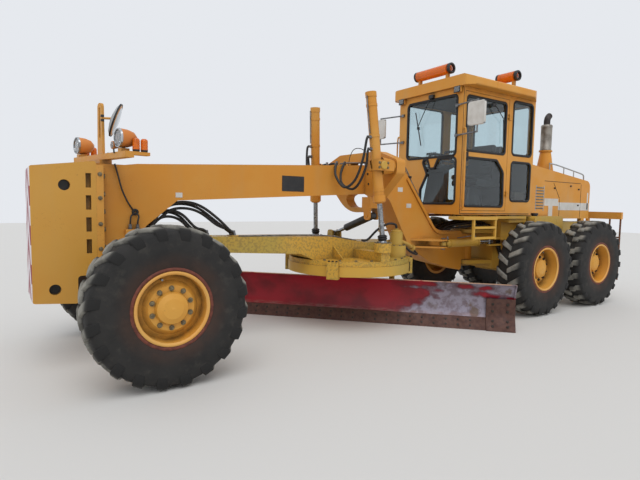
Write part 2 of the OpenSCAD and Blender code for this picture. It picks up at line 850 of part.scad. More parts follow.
// Cab walls with windows and the left door's opening
module cab_shell() {
    color(yellow) difference() {
        box([cab_back, -cab_side, cab_floor_z], [cab_front, cab_side, cab_top_z]);
        box([cab_back + cab_wall, -cab_side + cab_wall, cab_floor_z + 40],
            [cab_front - cab_wall, cab_side - cab_wall, cab_top_z - 20]);
        for (entry = cab_panes) pane_cut(entry[0], entry[1], 0);
        // Door opening
        box([door_back - door_gap, cab_side - cab_wall - 1, door_low - door_gap],
            [door_front + door_gap, cab_side + 1, door_high + door_gap]);
    }
    color(yellow) for (z = door_hinges) door_hinge(z);
}

// Outline with its four corners rounded
function pane(a0, z0, a1, z1, r) = [[a0, z0, r], [a1, z0, r], [a1, z1, r], [a0, z1, r]];

// Outline whose edges lie further in by gap, for points that run anticlockwise
function inset(points, gap) =
    [for (i = [0:len(points) - 1])
        let (n = len(points), before = points[(i + n - 1) % n], here = points[i],
            after = points[(i + 1) % n],
            u = unit([here.x - before.x, here.y - before.y]),
            v = unit([after.x - here.x, after.y - here.y]),
            m = [-u.y - v.y, u.x + v.x] / (1 + u * v))
        [here.x + gap * m.x, here.y + gap * m.y, here.z]];

// Window panes: [wall, outline]
upper_sill = cab_floor_z + 820;
upper_head = cab_top_z - 60;
lower_sill = cab_floor_z + 120;
lower_head = cab_floor_z + 795;
rear_side_front = door_back - 110;
rear_side_back = cab_back + 60;
upper_side = pane(rear_side_back, upper_sill + 80, rear_side_front, upper_head, 60);
lower_side = pane(rear_side_back, lower_sill + 90, rear_side_front, lower_head, 60);
cab_panes = [
    ["front", pane(-cab_side + 180, upper_sill, cab_side - 100, cab_top_z - 100, 60)],
    // Lower front pane on the left, cut away round the console
    ["front", [
        [-140, cab_floor_z + 150, 50],
        [cab_side - 90, cab_floor_z + 150, 60],
        [cab_side - 90, lower_head, 60],
        [200, lower_head, 20],
        [130, lower_head - 135, 20],
        [50, lower_head - 135, 20],
        [0, lower_head, 20],
        [-120, lower_head, 40],
        [-10, lower_head - 215, 60],
        [-140, lower_head - 445, 60]]],
    ["back", pane(-cab_side + 90, upper_sill + 100, cab_side - 90, upper_head, 60)],
    ["left", upper_side],
    ["left", lower_side],
    ["right", upper_side],
    ["right", lower_side],
    ["right", pane(door_back + 60, upper_sill + 70, door_front - 35, upper_head, 60)],
    ["right", pane(door_back + 60, lower_sill, door_front - 35, lower_head, 60)]];

// Opening through a wall, or the pane that fills it when gap is above 0
module pane_cut(wall, outline, gap) {
    t = gap > 0 ? pane_t : cab_wall + 4;
    shape = inset(outline, gap);
    if (wall == "front") cross_plate(shape, cab_front - cab_wall / 2 - t / 2, t);
    if (wall == "back") cross_plate(shape, cab_back + cab_wall / 2 - t / 2, t);
    if (wall == "left") side_plate(shape, cab_side - cab_wall / 2, t);
    if (wall == "right") side_plate(shape, -cab_side + cab_wall / 2, t);
}

module cab_glass() {
    color(glass_tint) for (entry = cab_panes) pane_cut(entry[0], entry[1], seat_gap);
}

// Door with an upper and a lower window
module cab_door() {
    color(yellow) difference() {
        union() {
            box([door_back, cab_side - cab_wall, door_low], [door_front, cab_side, door_high]);
            for (z = door_hinges) {
                box([door_back, cab_side - 1, z - 12], [door_back + 70, cab_side + 8, z + 12]);
                translate([door_back, cab_side + door_pin_out, z - 12]) cylinder(d = 26, h = 24);
            }
        }
        for (outline = door_panes) pane_cut("left", outline, 0);
        for (z = door_hinges)
            translate([door_back, cab_side + door_pin_out, z - 20])
                cylinder(d = door_pin_d + 2 * pin_gap, h = 40);
    }
}
door_hinges = [door_low + 250, door_high - 250];
door_pin_out = 16;
door_pin_d = 14;

// Fixed leaf and pin of a door hinge
module door_hinge(z) {
    for (low = [z - 40, z + 14]) {
        box([door_back - 70, cab_side - 1, low], [door_back, cab_side + 8, low + 26]);
        translate([door_back, cab_side + door_pin_out, low]) cylinder(d = 26, h = 26);
    }
    translate([door_back, cab_side + door_pin_out, z - 40]) cylinder(d = door_pin_d, h = 80);
}

door_panes = [
    pane(door_back + 60, upper_sill + 70, door_front - 35, door_high - 55, 50),
    // The lower pane's upper rear corner is cut off
    [[door_back + 60, lower_sill, 50],
        [door_front - 35, lower_sill, 50],
        [door_front - 35, lower_head, 60],
        [door_back + 240, lower_head, 60],
        [door_back + 80, lower_head - 165, 80]]];

module door_glass() {
    color(glass_tint) for (outline = door_panes) pane_cut("left", outline, seat_gap);
}

// Roof slab with a raised middle and cut corners
module cab_roof() {
    low = cab_top_z + seat_gap;
    half = roof_w / 2;
    color(yellow) {
        intersection() {
            cross_plate([
                [-half, low, 20],
                [half, low, 20],
                [half, low + roof_t - 50, 30],
                [half - 130, low + roof_t, 40],
                [-half + 130, low + roof_t, 40],
                [-half, low + roof_t - 50, 30]], cab_back - 10, cab_l + 60);
            flat_plate([
                [cab_front + 50, -half + 100, 30],
                [cab_front + 50, half - 100, 30],
                [cab_front - 50, half, 30],
                [cab_back + 280, half, 40],
                [cab_back - 10, half - 170, 40],
                [cab_back - 10, -half + 170, 40],
                [cab_back + 280, -half, 40],
                [cab_front - 50, -half, 30]], low - 1, roof_t + 2);
        }
        // Work lights under the front overhang
        both_sides() box([cab_front + 4, 490, low - 80], [cab_front + 48, 600, low + 1]);
    }
}

module driver_chair() {
    chair_x = cab_back + 420;
    floor_z = cab_floor_z + 40 + seat_gap;
    color(black) {
        side_plate([
            [chair_x - 60, floor_z + 380, 40],
            [chair_x + 440, floor_z + 400, 40],
            [chair_x + 440, floor_z + 500, 50],
            [chair_x + 80, floor_z + 500, 60],
            [chair_x - 90, floor_z + 1050, 50],
            [chair_x - 190, floor_z + 1020, 50],
            [chair_x - 90, floor_z + 440, 60]], 0, 480);
        translate([chair_x + 180, 0, floor_z]) cylinder(d1 = 300, d2 = 160, h = 400);
    }
}

// Steering wheel on its console
module control_console() {
    floor_z = cab_floor_z + 40 + seat_gap;
    top = [cab_front - 300, 0, floor_z + 760];
    color(black) {
        side_plate([
            [cab_front - 60, floor_z, 0],
            [cab_front - 240, floor_z, 0],
            [cab_front - 310, floor_z + 640, 20],
            [cab_front - 210, floor_z + 690, 20]], 0, 300);
        bar([cab_front - 255, 0, floor_z + 640], top, 50);
        translate(top) rotate([0, -25, 0]) rotate_extrude() translate([190, 0]) circle(d = 34, $fn = 24);
        translate(top) rotate([0, -25, 0]) for (turn = [0, 120, 240])
            rotate([0, 90, turn]) cylinder(d = 20, h = 190);
    }
}

// Step decks beside the cab with short ladders
module cab_steps() {
    inner = cab_side - 40 + seat_gap;
    outer = 960;
    deck_low = cab_floor_z - 60;
    deck_high = cab_floor_z - 20;
    color(yellow) both_sides() {
        box([cab_front - 400, inner, deck_low], [cab_front - 40, outer, deck_high]);
        box([cab_front - 41, cab_side + 80, deck_low], [cab_front + 300, outer, deck_high]);
        for (x = [cab_front - 370, cab_front + 80])
            box([x - 15, outer - 35, 1120], [x + 15, outer - 5, deck_low + 1]);
        for (z = [1130, 1270])
            box([cab_front - 370, outer - 40, z], [cab_front + 80, outer, z + 30]);
        box([cab_back + 100, inner, deck_low], [cab_front - 399, inner + 40, deck_high]);
    }
}

// Rear-view mirrors on arms at the cab's front corners
module cab_mirrors() {
    out_y = cab_side + 330;
    post_y = cab_side - 90;
    bar_x = cab_front + 105;
    color(steel) both_sides() {
        for (z = [2540, 2950]) {
            bar([cab_front + 18, post_y, z], [bar_x, out_y, z], 22);
            box([cab_front + seat_gap, post_y - 20, z - 20], [cab_front + 30, post_y + 20, z + 20]);
        }
        bar([bar_x, out_y, 2530], [bar_x, out_y, 2960], 22);
        side_plate([
            [bar_x + 5, 2630, 10], [bar_x + 35, 2630, 10],
            [bar_x + 35, 2920, 10], [bar_x + 5, 2920, 10]],
            out_y, 260);
    }
}

// Amber lamps across the front of the roof and on its left side
module beacons() {
    low = cab_top_z + roof_t + 2 * seat_gap;
    lamp_d = 150;
    color(amber) for (lamp = [[cab_front - 50, -330, 360], [cab_back + 570, 330, 690]]) {
        bar_y(lamp[0], low + 75 + lamp_d / 2, lamp[1], lamp[2], lamp_d);
        for (y = [lamp[1] + 60, lamp[2] - 100])
            box([lamp[0] - 25, y, low], [lamp[0] + 25, y + 40, low + 90]);
        box([lamp[0] - 35, lamp[1] + 50, low], [lamp[0] + 35, lamp[2] - 50, low + 12]);
    }
}

// Drawbar: tapered box beam with the circle's plate and the lift ball sockets
module drawbar() {
    beam_foot = circle_x + circle_d / 2 + 100;
    color(old_yellow) {
        translate([ball_x, 0, ball_z]) sphere(r = ball_r);
        bar([ball_x, 0, ball_z], [ball_x - 230, 0, ball_z - 5], 80);
        difference() {
            side_plate([
                [ball_x - 180, ball_z + 75, 20],
                [circle_x + 440, ball_z + 40, 0],
                [circle_x - 60, ball_z - 40, 0],
                [circle_x - 690, ball_z - 50, 30],
                [circle_x - 690, plate_z, 0],
                [circle_x + 600, plate_z, 0],
                [beam_foot, ball_z - 150, 100],
                [ball_x - 180, ball_z - 90, 20]], 0, drawbar_w);
            // Plan taper towards the ball
            both_sides() linear_extrude(2 * ball_z) polygon([
                [ball_x, 60], [ball_x - 180, 90], [beam_foot, drawbar_w / 2 + 10],
                [beam_foot, 400], [ball_x, 400]]);
        }
        translate([circle_x, 0, plate_z]) cylinder(d = circle_d - 20, h = plate_t, $fn = 72);
        both_sides() {
            // Lift arm with the ball's socket
            box([lift_x - 70, 240, plate_top - 1], [lift_x + 70, lift_side + 60, lift_ball_z - 110]);
            difference() {
                translate([lift_x, lift_side, lift_ball_z - 112]) cylinder(r = lift_ball_r + 52, h = 112);
                translate([lift_x, lift_side, lift_ball_z - 66]) cylinder(r = lift_ball_r + 27, h = 90);
            }
            // Gussets from the beam's sides down to the plate
            for (x = [circle_x - 240, circle_x + 430])
                cross_plate([
                    [drawbar_w / 2 - 5, plate_top + 160, 0],
                    [drawbar_w / 2 - 5, plate_top - 1, 0],
                    [drawbar_w / 2 + 190, plate_top - 1, 0],
                    [drawbar_w / 2 + 190, plate_top + 25, 10]], x - 9, 18);
            // Hangers that hold the circle from outside
            for (turn = [40, 140])
                translate([circle_x, 0, 0]) rotate([0, 0, turn]) {
                    box([circle_d / 2 + run_gap, -70, circle_bottom - 28],
                        [circle_d / 2 + 40, 70, plate_top]);
                    box([circle_d / 2 - 60, -70, circle_bottom - 28],
                        [circle_d / 2 + 40, 70, circle_bottom - slide_gap]);
                    box([circle_d / 2 - 80, -70, plate_z + 2], [circle_d / 2 + 40, 70, plate_top]);
                }
        }
        shift_low_bracket();
    }
}

// Plates on the drawbar's right for the centre shift cylinder's lower pin
module shift_low_bracket() {
    for (side = [-1, 1])
        cross_plate([
            [shift_low.x - 50, shift_low.y + 50, 40],
            [shift_low.x + 50, shift_low.y + 50, 40],
            [shift_low.x + 90, plate_top - 1, 0],
            [shift_low.x - 80, plate_top - 1, 0]],
            shift_x + side * (shift_barrel_d / 2 + 22) - 12, 24);
}

// Gearbox and motor that turn the circle, on the drawbar's plate
module circle_drive() {
    drive_x = circle_x - circle_d / 2 + 320;
    drive_d = 260;
    drive_y = drawbar_w / 2 + drive_d / 2 + run_gap;
    color(yellow) {
        translate([drive_x, drive_y, plate_top + seat_gap]) cylinder(d = drive_d, h = 150);
        translate([drive_x, drive_y, plate_top + 150]) cylinder(d = 170, h = 170);
    }
}

// Circle: toothed ring with the arms that hold the blade
module blade_circle() {
    tooth_h = 30;
    inner_r = circle_d / 2 - circle_ring_w;
    pitch = 360 / circle_teeth;
    color(old_yellow) difference() {
        translate([circle_x, 0, circle_bottom]) cylinder(d = circle_d, h = circle_t, $fn = 96);
        translate([circle_x, 0, circle_bottom - 1]) linear_extrude(circle_t + 2)
            polygon([for (i = [0:circle_teeth - 1]) each [
                for (step = [[0, 0], [0.28, 0], [0.42, 1], [0.86, 1]])
                    let (r = inner_r + step[1] * tooth_h, a = (i + step[0]) * pitch) r * [cos(a), sin(a)]]]);
    }
    color(old_yellow) in_blade_frame() both_sides() blade_arm();
}

// Everything that turns with the blade is modelled straight across, then turned
module in_blade_frame() {
    translate([circle_x, 0, 0]) rotate([0, 0, blade_angle]) children();
}

// Arm from the circle down behind the moldboard, with the slides for its rails.
// Its neck stays inside the hangers that hold the circle.
module blade_arm() {
    low = 130;
    front = -board_back - 66;
    neck_z = circle_bottom - 45;
    difference() {
        side_plate([
            [front - 110, circle_bottom + 1, 0],
            [front - 230, circle_bottom + 1, 0],
            [front - 230, neck_z, 0],
            [front - 330, neck_z - 20, 20],
            [front - 270, low + 60, 80],
            [front - 40, low, 40],
            [front, low + 20, 10],
            [front, low + 400, 20],
            [front - 110, neck_z - 20, 20]], arm_y, 60);
        for (rail = rail_heights)
            box([front - rail_back - run_gap, arm_y - 50, rail - rail_h / 2 - slide_gap],
                [front + 50, arm_y + 50, rail + rail_h / 2 + slide_gap]);
    }
}
rail_h = 56;
rail_back = 16;
// The rails stand this far below and above the blade's middle
rail_heights = [blade_h / 2 - 110, blade_h / 2 + 120];

// Moldboard: curved plate with two rails on its back
module moldboard() {
    color(red) in_blade_frame() {
        difference() {
            translate([board_r - board_back, blade_l / 2, blade_h / 2]) rotate([90, 0, 0])
                cylinder(r = board_r, h = blade_l, $fn = 96);
            translate([board_r - board_back, blade_l / 2 + 1, blade_h / 2]) rotate([90, 0, 0])
                cylinder(r = board_r - blade_t, h = blade_l + 2, $fn = 96);
            box([board_front, -blade_l, -board_r], [3 * board_r, blade_l, 2 * board_r]);
            box([-2 * board_r, -blade_l, blade_h], [3 * board_r, blade_l, 3 * board_r]);
            box([-2 * board_r, -blade_l, -board_r], [3 * board_r, blade_l, edge_h / 2]);
        }
        for (rail = rail_heights)
            box([-board_back - 66 - rail_back, -blade_l / 2 + 500, rail - rail_h / 2],
                [-board_back + 16, blade_l / 2 - 500, rail + rail_h / 2]);
    }
}
board_front = 12;

// Cutting edge under the moldboard, with end bits
module cutting_edge() {
    chord = sqrt(board_r * board_r - (blade_h / 2) * (blade_h / 2));
    color(rust) in_blade_frame()
        side_plate([
            [board_r - board_back - chord + 6, 0, 0],
            [board_r - board_back - chord + 26, 0, 0],
            [board_r - board_back - sqrt(board_r * board_r - pow(blade_h / 2 - edge_h, 2)) + 46, edge_h, 0],
            [board_r - board_back - sqrt(board_r * board_r - pow(blade_h / 2 - edge_h, 2)) + 26, edge_h, 0]],
            0, blade_l);
}

// Lift cylinder's barrel with its trunnion block
module lift_barrel(side) {
    low = lift_at(lift_low_z);
    color(yellow) at_tandem(side) along_lift() difference() {
        union() {
            translate([0, 0, low]) cylinder(d = lift_barrel_d, h = lift_reach - low);
            translate([0, 0, low]) cylinder(d = lift_barrel_d + 28, h = 80);
            translate([0, 0, lift_reach - 60]) cylinder(d = lift_barrel_d + 10, h = 60);
            bar_y(0, lift_at(trunnion_z), -116, 116, trunnion_d);
        }
        translate([0, 0, low - 1])
            cylinder(d = lift_rod_d + 2 * pin_gap, h = lift_at(lift_piston_z) + 400 - low);
    }
}

// Lift cylinder's rod with the ball that sits in the drawbar's socket
module lift_rod(side) {
    color(steel) at_tandem(side) along_lift() {
        translate([0, 0, -10]) cylinder(d = lift_rod_d, h = lift_at(lift_piston_z));
        sphere(r = lift_ball_r);
    }
}

// Local frame of the centre shift cylinder: +X from its upper pin to its lower
module along_shift() {
    v = shift_low - shift_top;
    translate([shift_x, shift_top.x, shift_top.y])
        rotate([0, 0, 90]) rotate([0, -atan2(v.y, v.x), 0]) children();
}
shift_len = norm(shift_low - shift_top);

module shift_barrel() {
    color(black) along_shift() difference() {
        union() {
            rotate([90, 0, 0]) translate([0, 0, -40]) cylinder(r = 44, h = 80);
            translate([30, 0, 0]) rotate([0, 90, 0]) cylinder(d = shift_barrel_d, h = 520);
        }
        rotate([90, 0, 0]) translate([0, 0, -50]) cylinder(d = 40 + 2 * pin_gap, h = 100);
        translate([100, 0, 0]) rotate([0, 90, 0]) cylinder(d = shift_rod_d + 2 * pin_gap, h = 500);
    }
}

module shift_rod() {
    color(steel) along_shift() {
        translate([200, 0, 0]) rotate([0, 90, 0]) cylinder(d = shift_rod_d, h = shift_len - 210);
        translate([shift_len, 0, 0]) rotate([90, 0, 0]) translate([0, 0, -30]) cylinder(r = 40, h = 60);
    }
}

// Frame hinge cylinder's barrel, from its front eye rearwards
module hinge_barrel(side) {
    color(yellow) at_tandem(side) difference() {
        union() {
            translate([hinge_cyl_front, hinge_cyl_y, hinge_cyl_z - 24]) cylinder(r = hinge_eye_r, h = 48);
            bar([hinge_cyl_front - 30, hinge_cyl_y, hinge_cyl_z],
                [hinge_cyl_front - 750, hinge_cyl_y, hinge_cyl_z], hinge_barrel_d);
        }
        // Flats and bore at the eye
        for (side = [-1, 1])
            translate([hinge_cyl_front - 60, hinge_cyl_y - 80, hinge_cyl_z + side * 74 - 50])
                cube([200, 160, 100]);
        translate([hinge_cyl_front, hinge_cyl_y, hinge_cyl_z - 60]) cylinder(d = 40 + 2 * pin_gap, h = 120);
        bar([hinge_cyl_front - 150, hinge_cyl_y, hinge_cyl_z],
            [hinge_cyl_front - 760, hinge_cyl_y, hinge_cyl_z], hinge_rod_d + 2 * pin_gap);
    }
}

module hinge_rod(side) {
    color(steel) at_tandem(side) {
        bar([hinge_cyl_back, hinge_cyl_y, hinge_cyl_z],
            [hinge_cyl_front - 480, hinge_cyl_y, hinge_cyl_z], hinge_rod_d);
        translate([hinge_cyl_back, hinge_cyl_y, hinge_cyl_z - 24]) cylinder(r = hinge_eye_r, h = 48);
        translate([hinge_cyl_back, hinge_cyl_y, hinge_cyl_z - 37]) cylinder(r = 22, h = 74);
    }
}

mid_x = tandem_x + tandem_spacing / 2;
last_x = tandem_x - tandem_spacing / 2;

rear_frame();
tandem_case(1);  // tandem_left
tandem_case(-1);  // tandem_right
engine();
hood();
exhaust();
side_tanks();
rear_bumper();
rear_ladders();
cab_shell();
cab_roof();
cab_glass();
cab_door();
door_glass();
driver_chair();
control_console();
cab_steps();
cab_mirrors();
beacons();
front_frame();
nose_weight();
lift_saddle();
light_bar();
headlamps();
nose_mirror();
front_axle();
knuckle();  // knuckle_left
mirror([0, 1, 0]) knuckle();  // knuckle_right
tie_rod();
front_rim(1);  // rim_front_left
front_rim(-1);  // rim_front_right
wheel_tyre(front_x, 1);  // tyre_front_left
wheel_tyre(front_x, -1);  // tyre_front_right
rear_rim(mid_x, 1);  // rim_mid_left
rear_rim(mid_x, -1);  // rim_mid_right
wheel_tyre(mid_x, 1);  // tyre_mid_left
wheel_tyre(mid_x, -1);  // tyre_mid_right
rear_rim(last_x, 1);  // rim_rear_left
rear_rim(last_x, -1);  // rim_rear_right
wheel_tyre(last_x, 1);  // tyre_rear_left
wheel_tyre(last_x, -1);  // tyre_rear_right
drawbar();
circle_drive();
blade_circle();  // circle
moldboard();
cutting_edge();
lift_barrel(1);  // lift_barrel_left
lift_barrel(-1);  // lift_barrel_right
lift_rod(1);  // lift_rod_left
lift_rod(-1);  // lift_rod_right
shift_barrel();
shift_rod();
hinge_barrel(1);  // hinge_barrel_left
hinge_barrel(-1);  // hinge_barrel_right
hinge_rod(1);  // hinge_rod_left
hinge_rod(-1);  // hinge_rod_right
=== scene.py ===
"""Looks of a motor grader, built around its construction frame.

The frame gives every place, in metres: +X is forward, +Y left and +Z up. Each piece is one mesh
with its place in its vertices, and rides on the body that carries it.
"""

import json
import math

import bmesh
import bpy
from mathutils import Matrix, Vector
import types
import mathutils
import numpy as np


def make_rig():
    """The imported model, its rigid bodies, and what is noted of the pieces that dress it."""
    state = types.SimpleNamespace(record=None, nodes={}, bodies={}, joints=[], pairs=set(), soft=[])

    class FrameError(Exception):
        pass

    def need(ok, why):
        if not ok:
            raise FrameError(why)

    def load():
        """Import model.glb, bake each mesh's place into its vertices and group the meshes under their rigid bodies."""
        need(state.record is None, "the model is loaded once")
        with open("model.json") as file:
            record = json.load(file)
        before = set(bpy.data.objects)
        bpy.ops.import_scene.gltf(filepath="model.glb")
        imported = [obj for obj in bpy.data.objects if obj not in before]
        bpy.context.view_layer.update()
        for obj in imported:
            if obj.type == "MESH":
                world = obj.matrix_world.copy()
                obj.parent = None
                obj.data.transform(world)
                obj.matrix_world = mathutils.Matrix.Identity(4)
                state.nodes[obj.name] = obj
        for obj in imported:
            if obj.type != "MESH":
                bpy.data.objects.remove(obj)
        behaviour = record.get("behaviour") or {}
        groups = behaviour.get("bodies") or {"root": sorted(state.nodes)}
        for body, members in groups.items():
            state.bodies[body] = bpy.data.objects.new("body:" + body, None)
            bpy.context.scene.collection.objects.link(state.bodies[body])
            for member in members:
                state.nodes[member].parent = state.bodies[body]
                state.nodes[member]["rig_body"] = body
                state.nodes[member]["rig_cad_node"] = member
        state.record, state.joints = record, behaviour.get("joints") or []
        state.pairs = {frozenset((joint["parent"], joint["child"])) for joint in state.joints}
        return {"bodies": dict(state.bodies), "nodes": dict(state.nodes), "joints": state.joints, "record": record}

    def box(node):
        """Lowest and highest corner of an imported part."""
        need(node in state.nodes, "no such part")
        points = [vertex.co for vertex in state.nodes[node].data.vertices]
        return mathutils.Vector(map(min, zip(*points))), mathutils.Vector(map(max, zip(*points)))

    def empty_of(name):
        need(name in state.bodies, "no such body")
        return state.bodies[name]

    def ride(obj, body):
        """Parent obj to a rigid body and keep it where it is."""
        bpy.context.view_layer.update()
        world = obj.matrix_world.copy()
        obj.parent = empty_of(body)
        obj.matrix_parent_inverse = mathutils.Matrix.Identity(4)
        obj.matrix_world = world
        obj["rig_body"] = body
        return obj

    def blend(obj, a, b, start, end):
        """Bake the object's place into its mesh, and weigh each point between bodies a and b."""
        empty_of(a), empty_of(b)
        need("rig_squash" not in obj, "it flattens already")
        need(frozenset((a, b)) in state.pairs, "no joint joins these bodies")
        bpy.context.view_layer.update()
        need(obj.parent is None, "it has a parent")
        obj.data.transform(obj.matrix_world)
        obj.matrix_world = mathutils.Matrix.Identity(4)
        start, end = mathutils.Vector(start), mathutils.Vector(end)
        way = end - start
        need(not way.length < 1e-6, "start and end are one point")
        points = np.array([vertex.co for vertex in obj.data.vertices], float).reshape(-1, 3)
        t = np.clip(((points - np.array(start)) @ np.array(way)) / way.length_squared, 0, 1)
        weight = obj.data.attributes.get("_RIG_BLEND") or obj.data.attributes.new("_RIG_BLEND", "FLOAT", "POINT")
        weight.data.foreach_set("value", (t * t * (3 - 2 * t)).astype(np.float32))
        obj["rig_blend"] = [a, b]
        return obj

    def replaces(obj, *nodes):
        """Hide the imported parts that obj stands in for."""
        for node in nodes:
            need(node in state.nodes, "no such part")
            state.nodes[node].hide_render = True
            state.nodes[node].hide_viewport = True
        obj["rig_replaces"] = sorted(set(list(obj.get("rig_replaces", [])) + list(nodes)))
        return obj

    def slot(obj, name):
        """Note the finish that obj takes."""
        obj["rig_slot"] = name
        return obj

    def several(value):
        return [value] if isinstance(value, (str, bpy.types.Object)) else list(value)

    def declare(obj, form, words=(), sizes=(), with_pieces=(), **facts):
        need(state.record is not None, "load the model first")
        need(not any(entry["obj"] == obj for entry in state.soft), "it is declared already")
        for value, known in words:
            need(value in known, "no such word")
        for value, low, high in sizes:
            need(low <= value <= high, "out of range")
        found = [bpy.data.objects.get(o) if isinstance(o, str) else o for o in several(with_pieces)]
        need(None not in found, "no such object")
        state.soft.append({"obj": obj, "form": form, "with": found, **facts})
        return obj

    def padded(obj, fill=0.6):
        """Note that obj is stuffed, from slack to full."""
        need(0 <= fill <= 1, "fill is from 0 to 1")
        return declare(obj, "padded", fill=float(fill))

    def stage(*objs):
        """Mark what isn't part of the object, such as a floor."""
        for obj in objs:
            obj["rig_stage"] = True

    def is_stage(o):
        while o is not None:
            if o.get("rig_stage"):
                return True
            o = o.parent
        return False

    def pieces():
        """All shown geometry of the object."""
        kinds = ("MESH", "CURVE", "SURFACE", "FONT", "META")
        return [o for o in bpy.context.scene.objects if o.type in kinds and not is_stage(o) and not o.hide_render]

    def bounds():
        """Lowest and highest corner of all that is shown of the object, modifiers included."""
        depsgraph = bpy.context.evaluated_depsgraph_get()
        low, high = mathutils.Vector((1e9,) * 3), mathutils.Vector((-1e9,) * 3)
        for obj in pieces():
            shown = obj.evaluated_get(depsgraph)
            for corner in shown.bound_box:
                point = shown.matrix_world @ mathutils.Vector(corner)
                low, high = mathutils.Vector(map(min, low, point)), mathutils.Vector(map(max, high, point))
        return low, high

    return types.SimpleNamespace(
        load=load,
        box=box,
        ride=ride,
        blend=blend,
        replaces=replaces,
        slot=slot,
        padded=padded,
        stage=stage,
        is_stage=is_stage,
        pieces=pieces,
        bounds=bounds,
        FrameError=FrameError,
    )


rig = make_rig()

bl_info = {
    "name": "Motor grader looks",
    "version": (1, 0, 0),
    "blender": (4, 5, 0),
    "location": "View3D > Sidebar > Grader",
    "description": "Dresses a motor grader's construction frame with finishes and fine pieces",
    "category": "Object",
}

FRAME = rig.load()
CAD_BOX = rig.bounds()
SIZE_FILE = "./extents.json"

# The photograph's camera
CAMERA_PLACE = (4.739, 5.091, 1.573)
CAMERA_YAW = -123.88
CAMERA_PITCH = -4.38
CAMERA_ROLL = 1.07
FOCAL_PIXELS = 481.1
PHOTO_WIDTH_PIXELS = 640
SENSOR_WIDTH_MM = 36

SIDES = {"left": 1, "right": -1}
AXLES = ["front", "mid", "rear"]
WHEELS = [f"{axle}_{side}" for axle in AXLES for side in SIDES]


def low(node):
    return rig.box(node)[0]


def high(node):
    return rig.box(node)[1]


def middle(node):
    lowest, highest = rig.box(node)
    return (lowest + highest) / 2


def srgb(text):
    """A colour written as RRGGBB, as the linear numbers that a shader takes."""
    parts = [int(text[i:i + 2], 16) / 255 for i in (0, 2, 4)]
    return (*[p / 12.92 if p < 0.04045 else ((p + 0.055) / 1.055) ** 2.4 for p in parts], 1)


class Finish:
    """One material. Every pattern in it reads Object coordinates, which are the row frame's metres."""

    def __init__(self, name, slot):
        self.slot = slot
        self.material = bpy.data.materials.new(name)
        self.material.use_nodes = True
        self.tree = self.material.node_tree
        self.tree.nodes.clear()
        self.shader = self.node("ShaderNodeBsdfPrincipled")
        output = self.node("ShaderNodeOutputMaterial")
        self.tree.links.new(self.shader.outputs[0], output.inputs[0])
        self.place = self.node("ShaderNodeTexCoord").outputs["Object"]

    def node(self, kind, inputs=None, **settings):
        made = self.tree.nodes.new(kind)
        for key, value in settings.items():
            setattr(made, key, value)
        for key, value in (inputs or {}).items():
            self.put(made.inputs[key], value)
        return made

    def put(self, socket, value):
        if isinstance(value, bpy.types.NodeSocket):
            self.tree.links.new(value, socket)
        else:
            socket.default_value = value

    def set(self, **values):
        """Sets the shader's sockets; an underscore in a name stands for a space."""
        for key, value in values.items():
            self.put(self.shader.inputs[key.replace("_", " ")], value)
        return self

    def noise(self, scale, detail=3, stretch=(1, 1, 1), rough=0.55):
        place = self.node("ShaderNodeMapping", {"Vector": self.place, "Scale": stretch})
        return self.node("ShaderNodeTexNoise", {
            "Vector": place.outputs[0], "Scale": scale, "Detail": detail, "Roughness": rough,
        }).outputs[0]

    def spread(self, value, start, end, to_low=0, to_high=1):
        """Runs smoothly from to_low at start to to_high at end."""
        return self.node("ShaderNodeMapRange", {
            0: value, 1: start, 2: end, 3: to_low, 4: to_high,
        }, interpolation_type="SMOOTHSTEP").outputs[0]

    def maths(self, operation, *values):
        made = self.node("ShaderNodeMath", dict(enumerate(values)), operation=operation)
        return made.outputs[0]

    def product(self, first, second):
        return self.maths("MULTIPLY", first, second)

    def mix(self, share, first, second):
        return self.node("ShaderNodeMix", {0: share, 6: first, 7: second}, data_type="RGBA").outputs[2]

    def axis(self, letter, turned=None, centre=(0, 0, 0)):
        """One coordinate of the place, in a frame turned about Z by so many degrees and centred."""
        vector = self.place
        if turned is not None:
            off = self.node("ShaderNodeVectorMath", {0: vector, 1: centre}, operation="SUBTRACT").outputs[0]
            vector = self.node("ShaderNodeVectorRotate", {
                "Vector": off, "Angle": -math.radians(turned),
            }, rotation_type="Z_AXIS").outputs[0]
        return self.node("ShaderNodeSeparateXYZ", {0: vector}).outputs[letter]

    def edges(self, width):
        """1 along sharp edges and 0 on flat faces."""
        round_normal = self.node("ShaderNodeBevel", {"Radius": width}, samples=4).outputs[0]
        plain_normal = self.node("ShaderNodeNewGeometry").outputs["Normal"]
        same = self.node("ShaderNodeVectorMath", {0: round_normal, 1: plain_normal}, operation="DOT_PRODUCT")
        return self.spread(same.outputs["Value"], 0.985, 0.85)

    def corners(self, reach):
        """1 deep in a corner and 0 in the open; it masks the painted shade in corners."""
        open_share = self.node("ShaderNodeAmbientOcclusion", {"Distance": reach}, samples=4).outputs["AO"]
        return self.spread(open_share, 0.75, 0.25)

    def bump(self, height, depth, strength=1.0):
        made = self.node("ShaderNodeBump", {"Height": height, "Distance": depth, "Strength": strength})
        self.put(self.shader.inputs["Normal"], made.outputs[0])
        return self


AHEAD, LEFT, UP = Vector((1, 0, 0)), Vector((0, 1, 0)), Vector((0, 0, 1))
SAME_PLACE = 1e-5
POINT_RADIUS = 1e-4
ROUNDED_FROM_DEGREES = 40
AXLE = middle("tyre_front_left")
BLADE_ANGLE = 44
CIRCLE_PLACE = Vector((middle("circle").x, 0, 0))
CHEVRON_SLOPE = 1.0
CHEVRON_PITCH = 0.34
DUST = srgb("B89C6C")
# Dark brown of the painted shade and grime in corners
SHADE_AND_GRIME = srgb("4A3A28")
RUST = srgb("6B3F27")


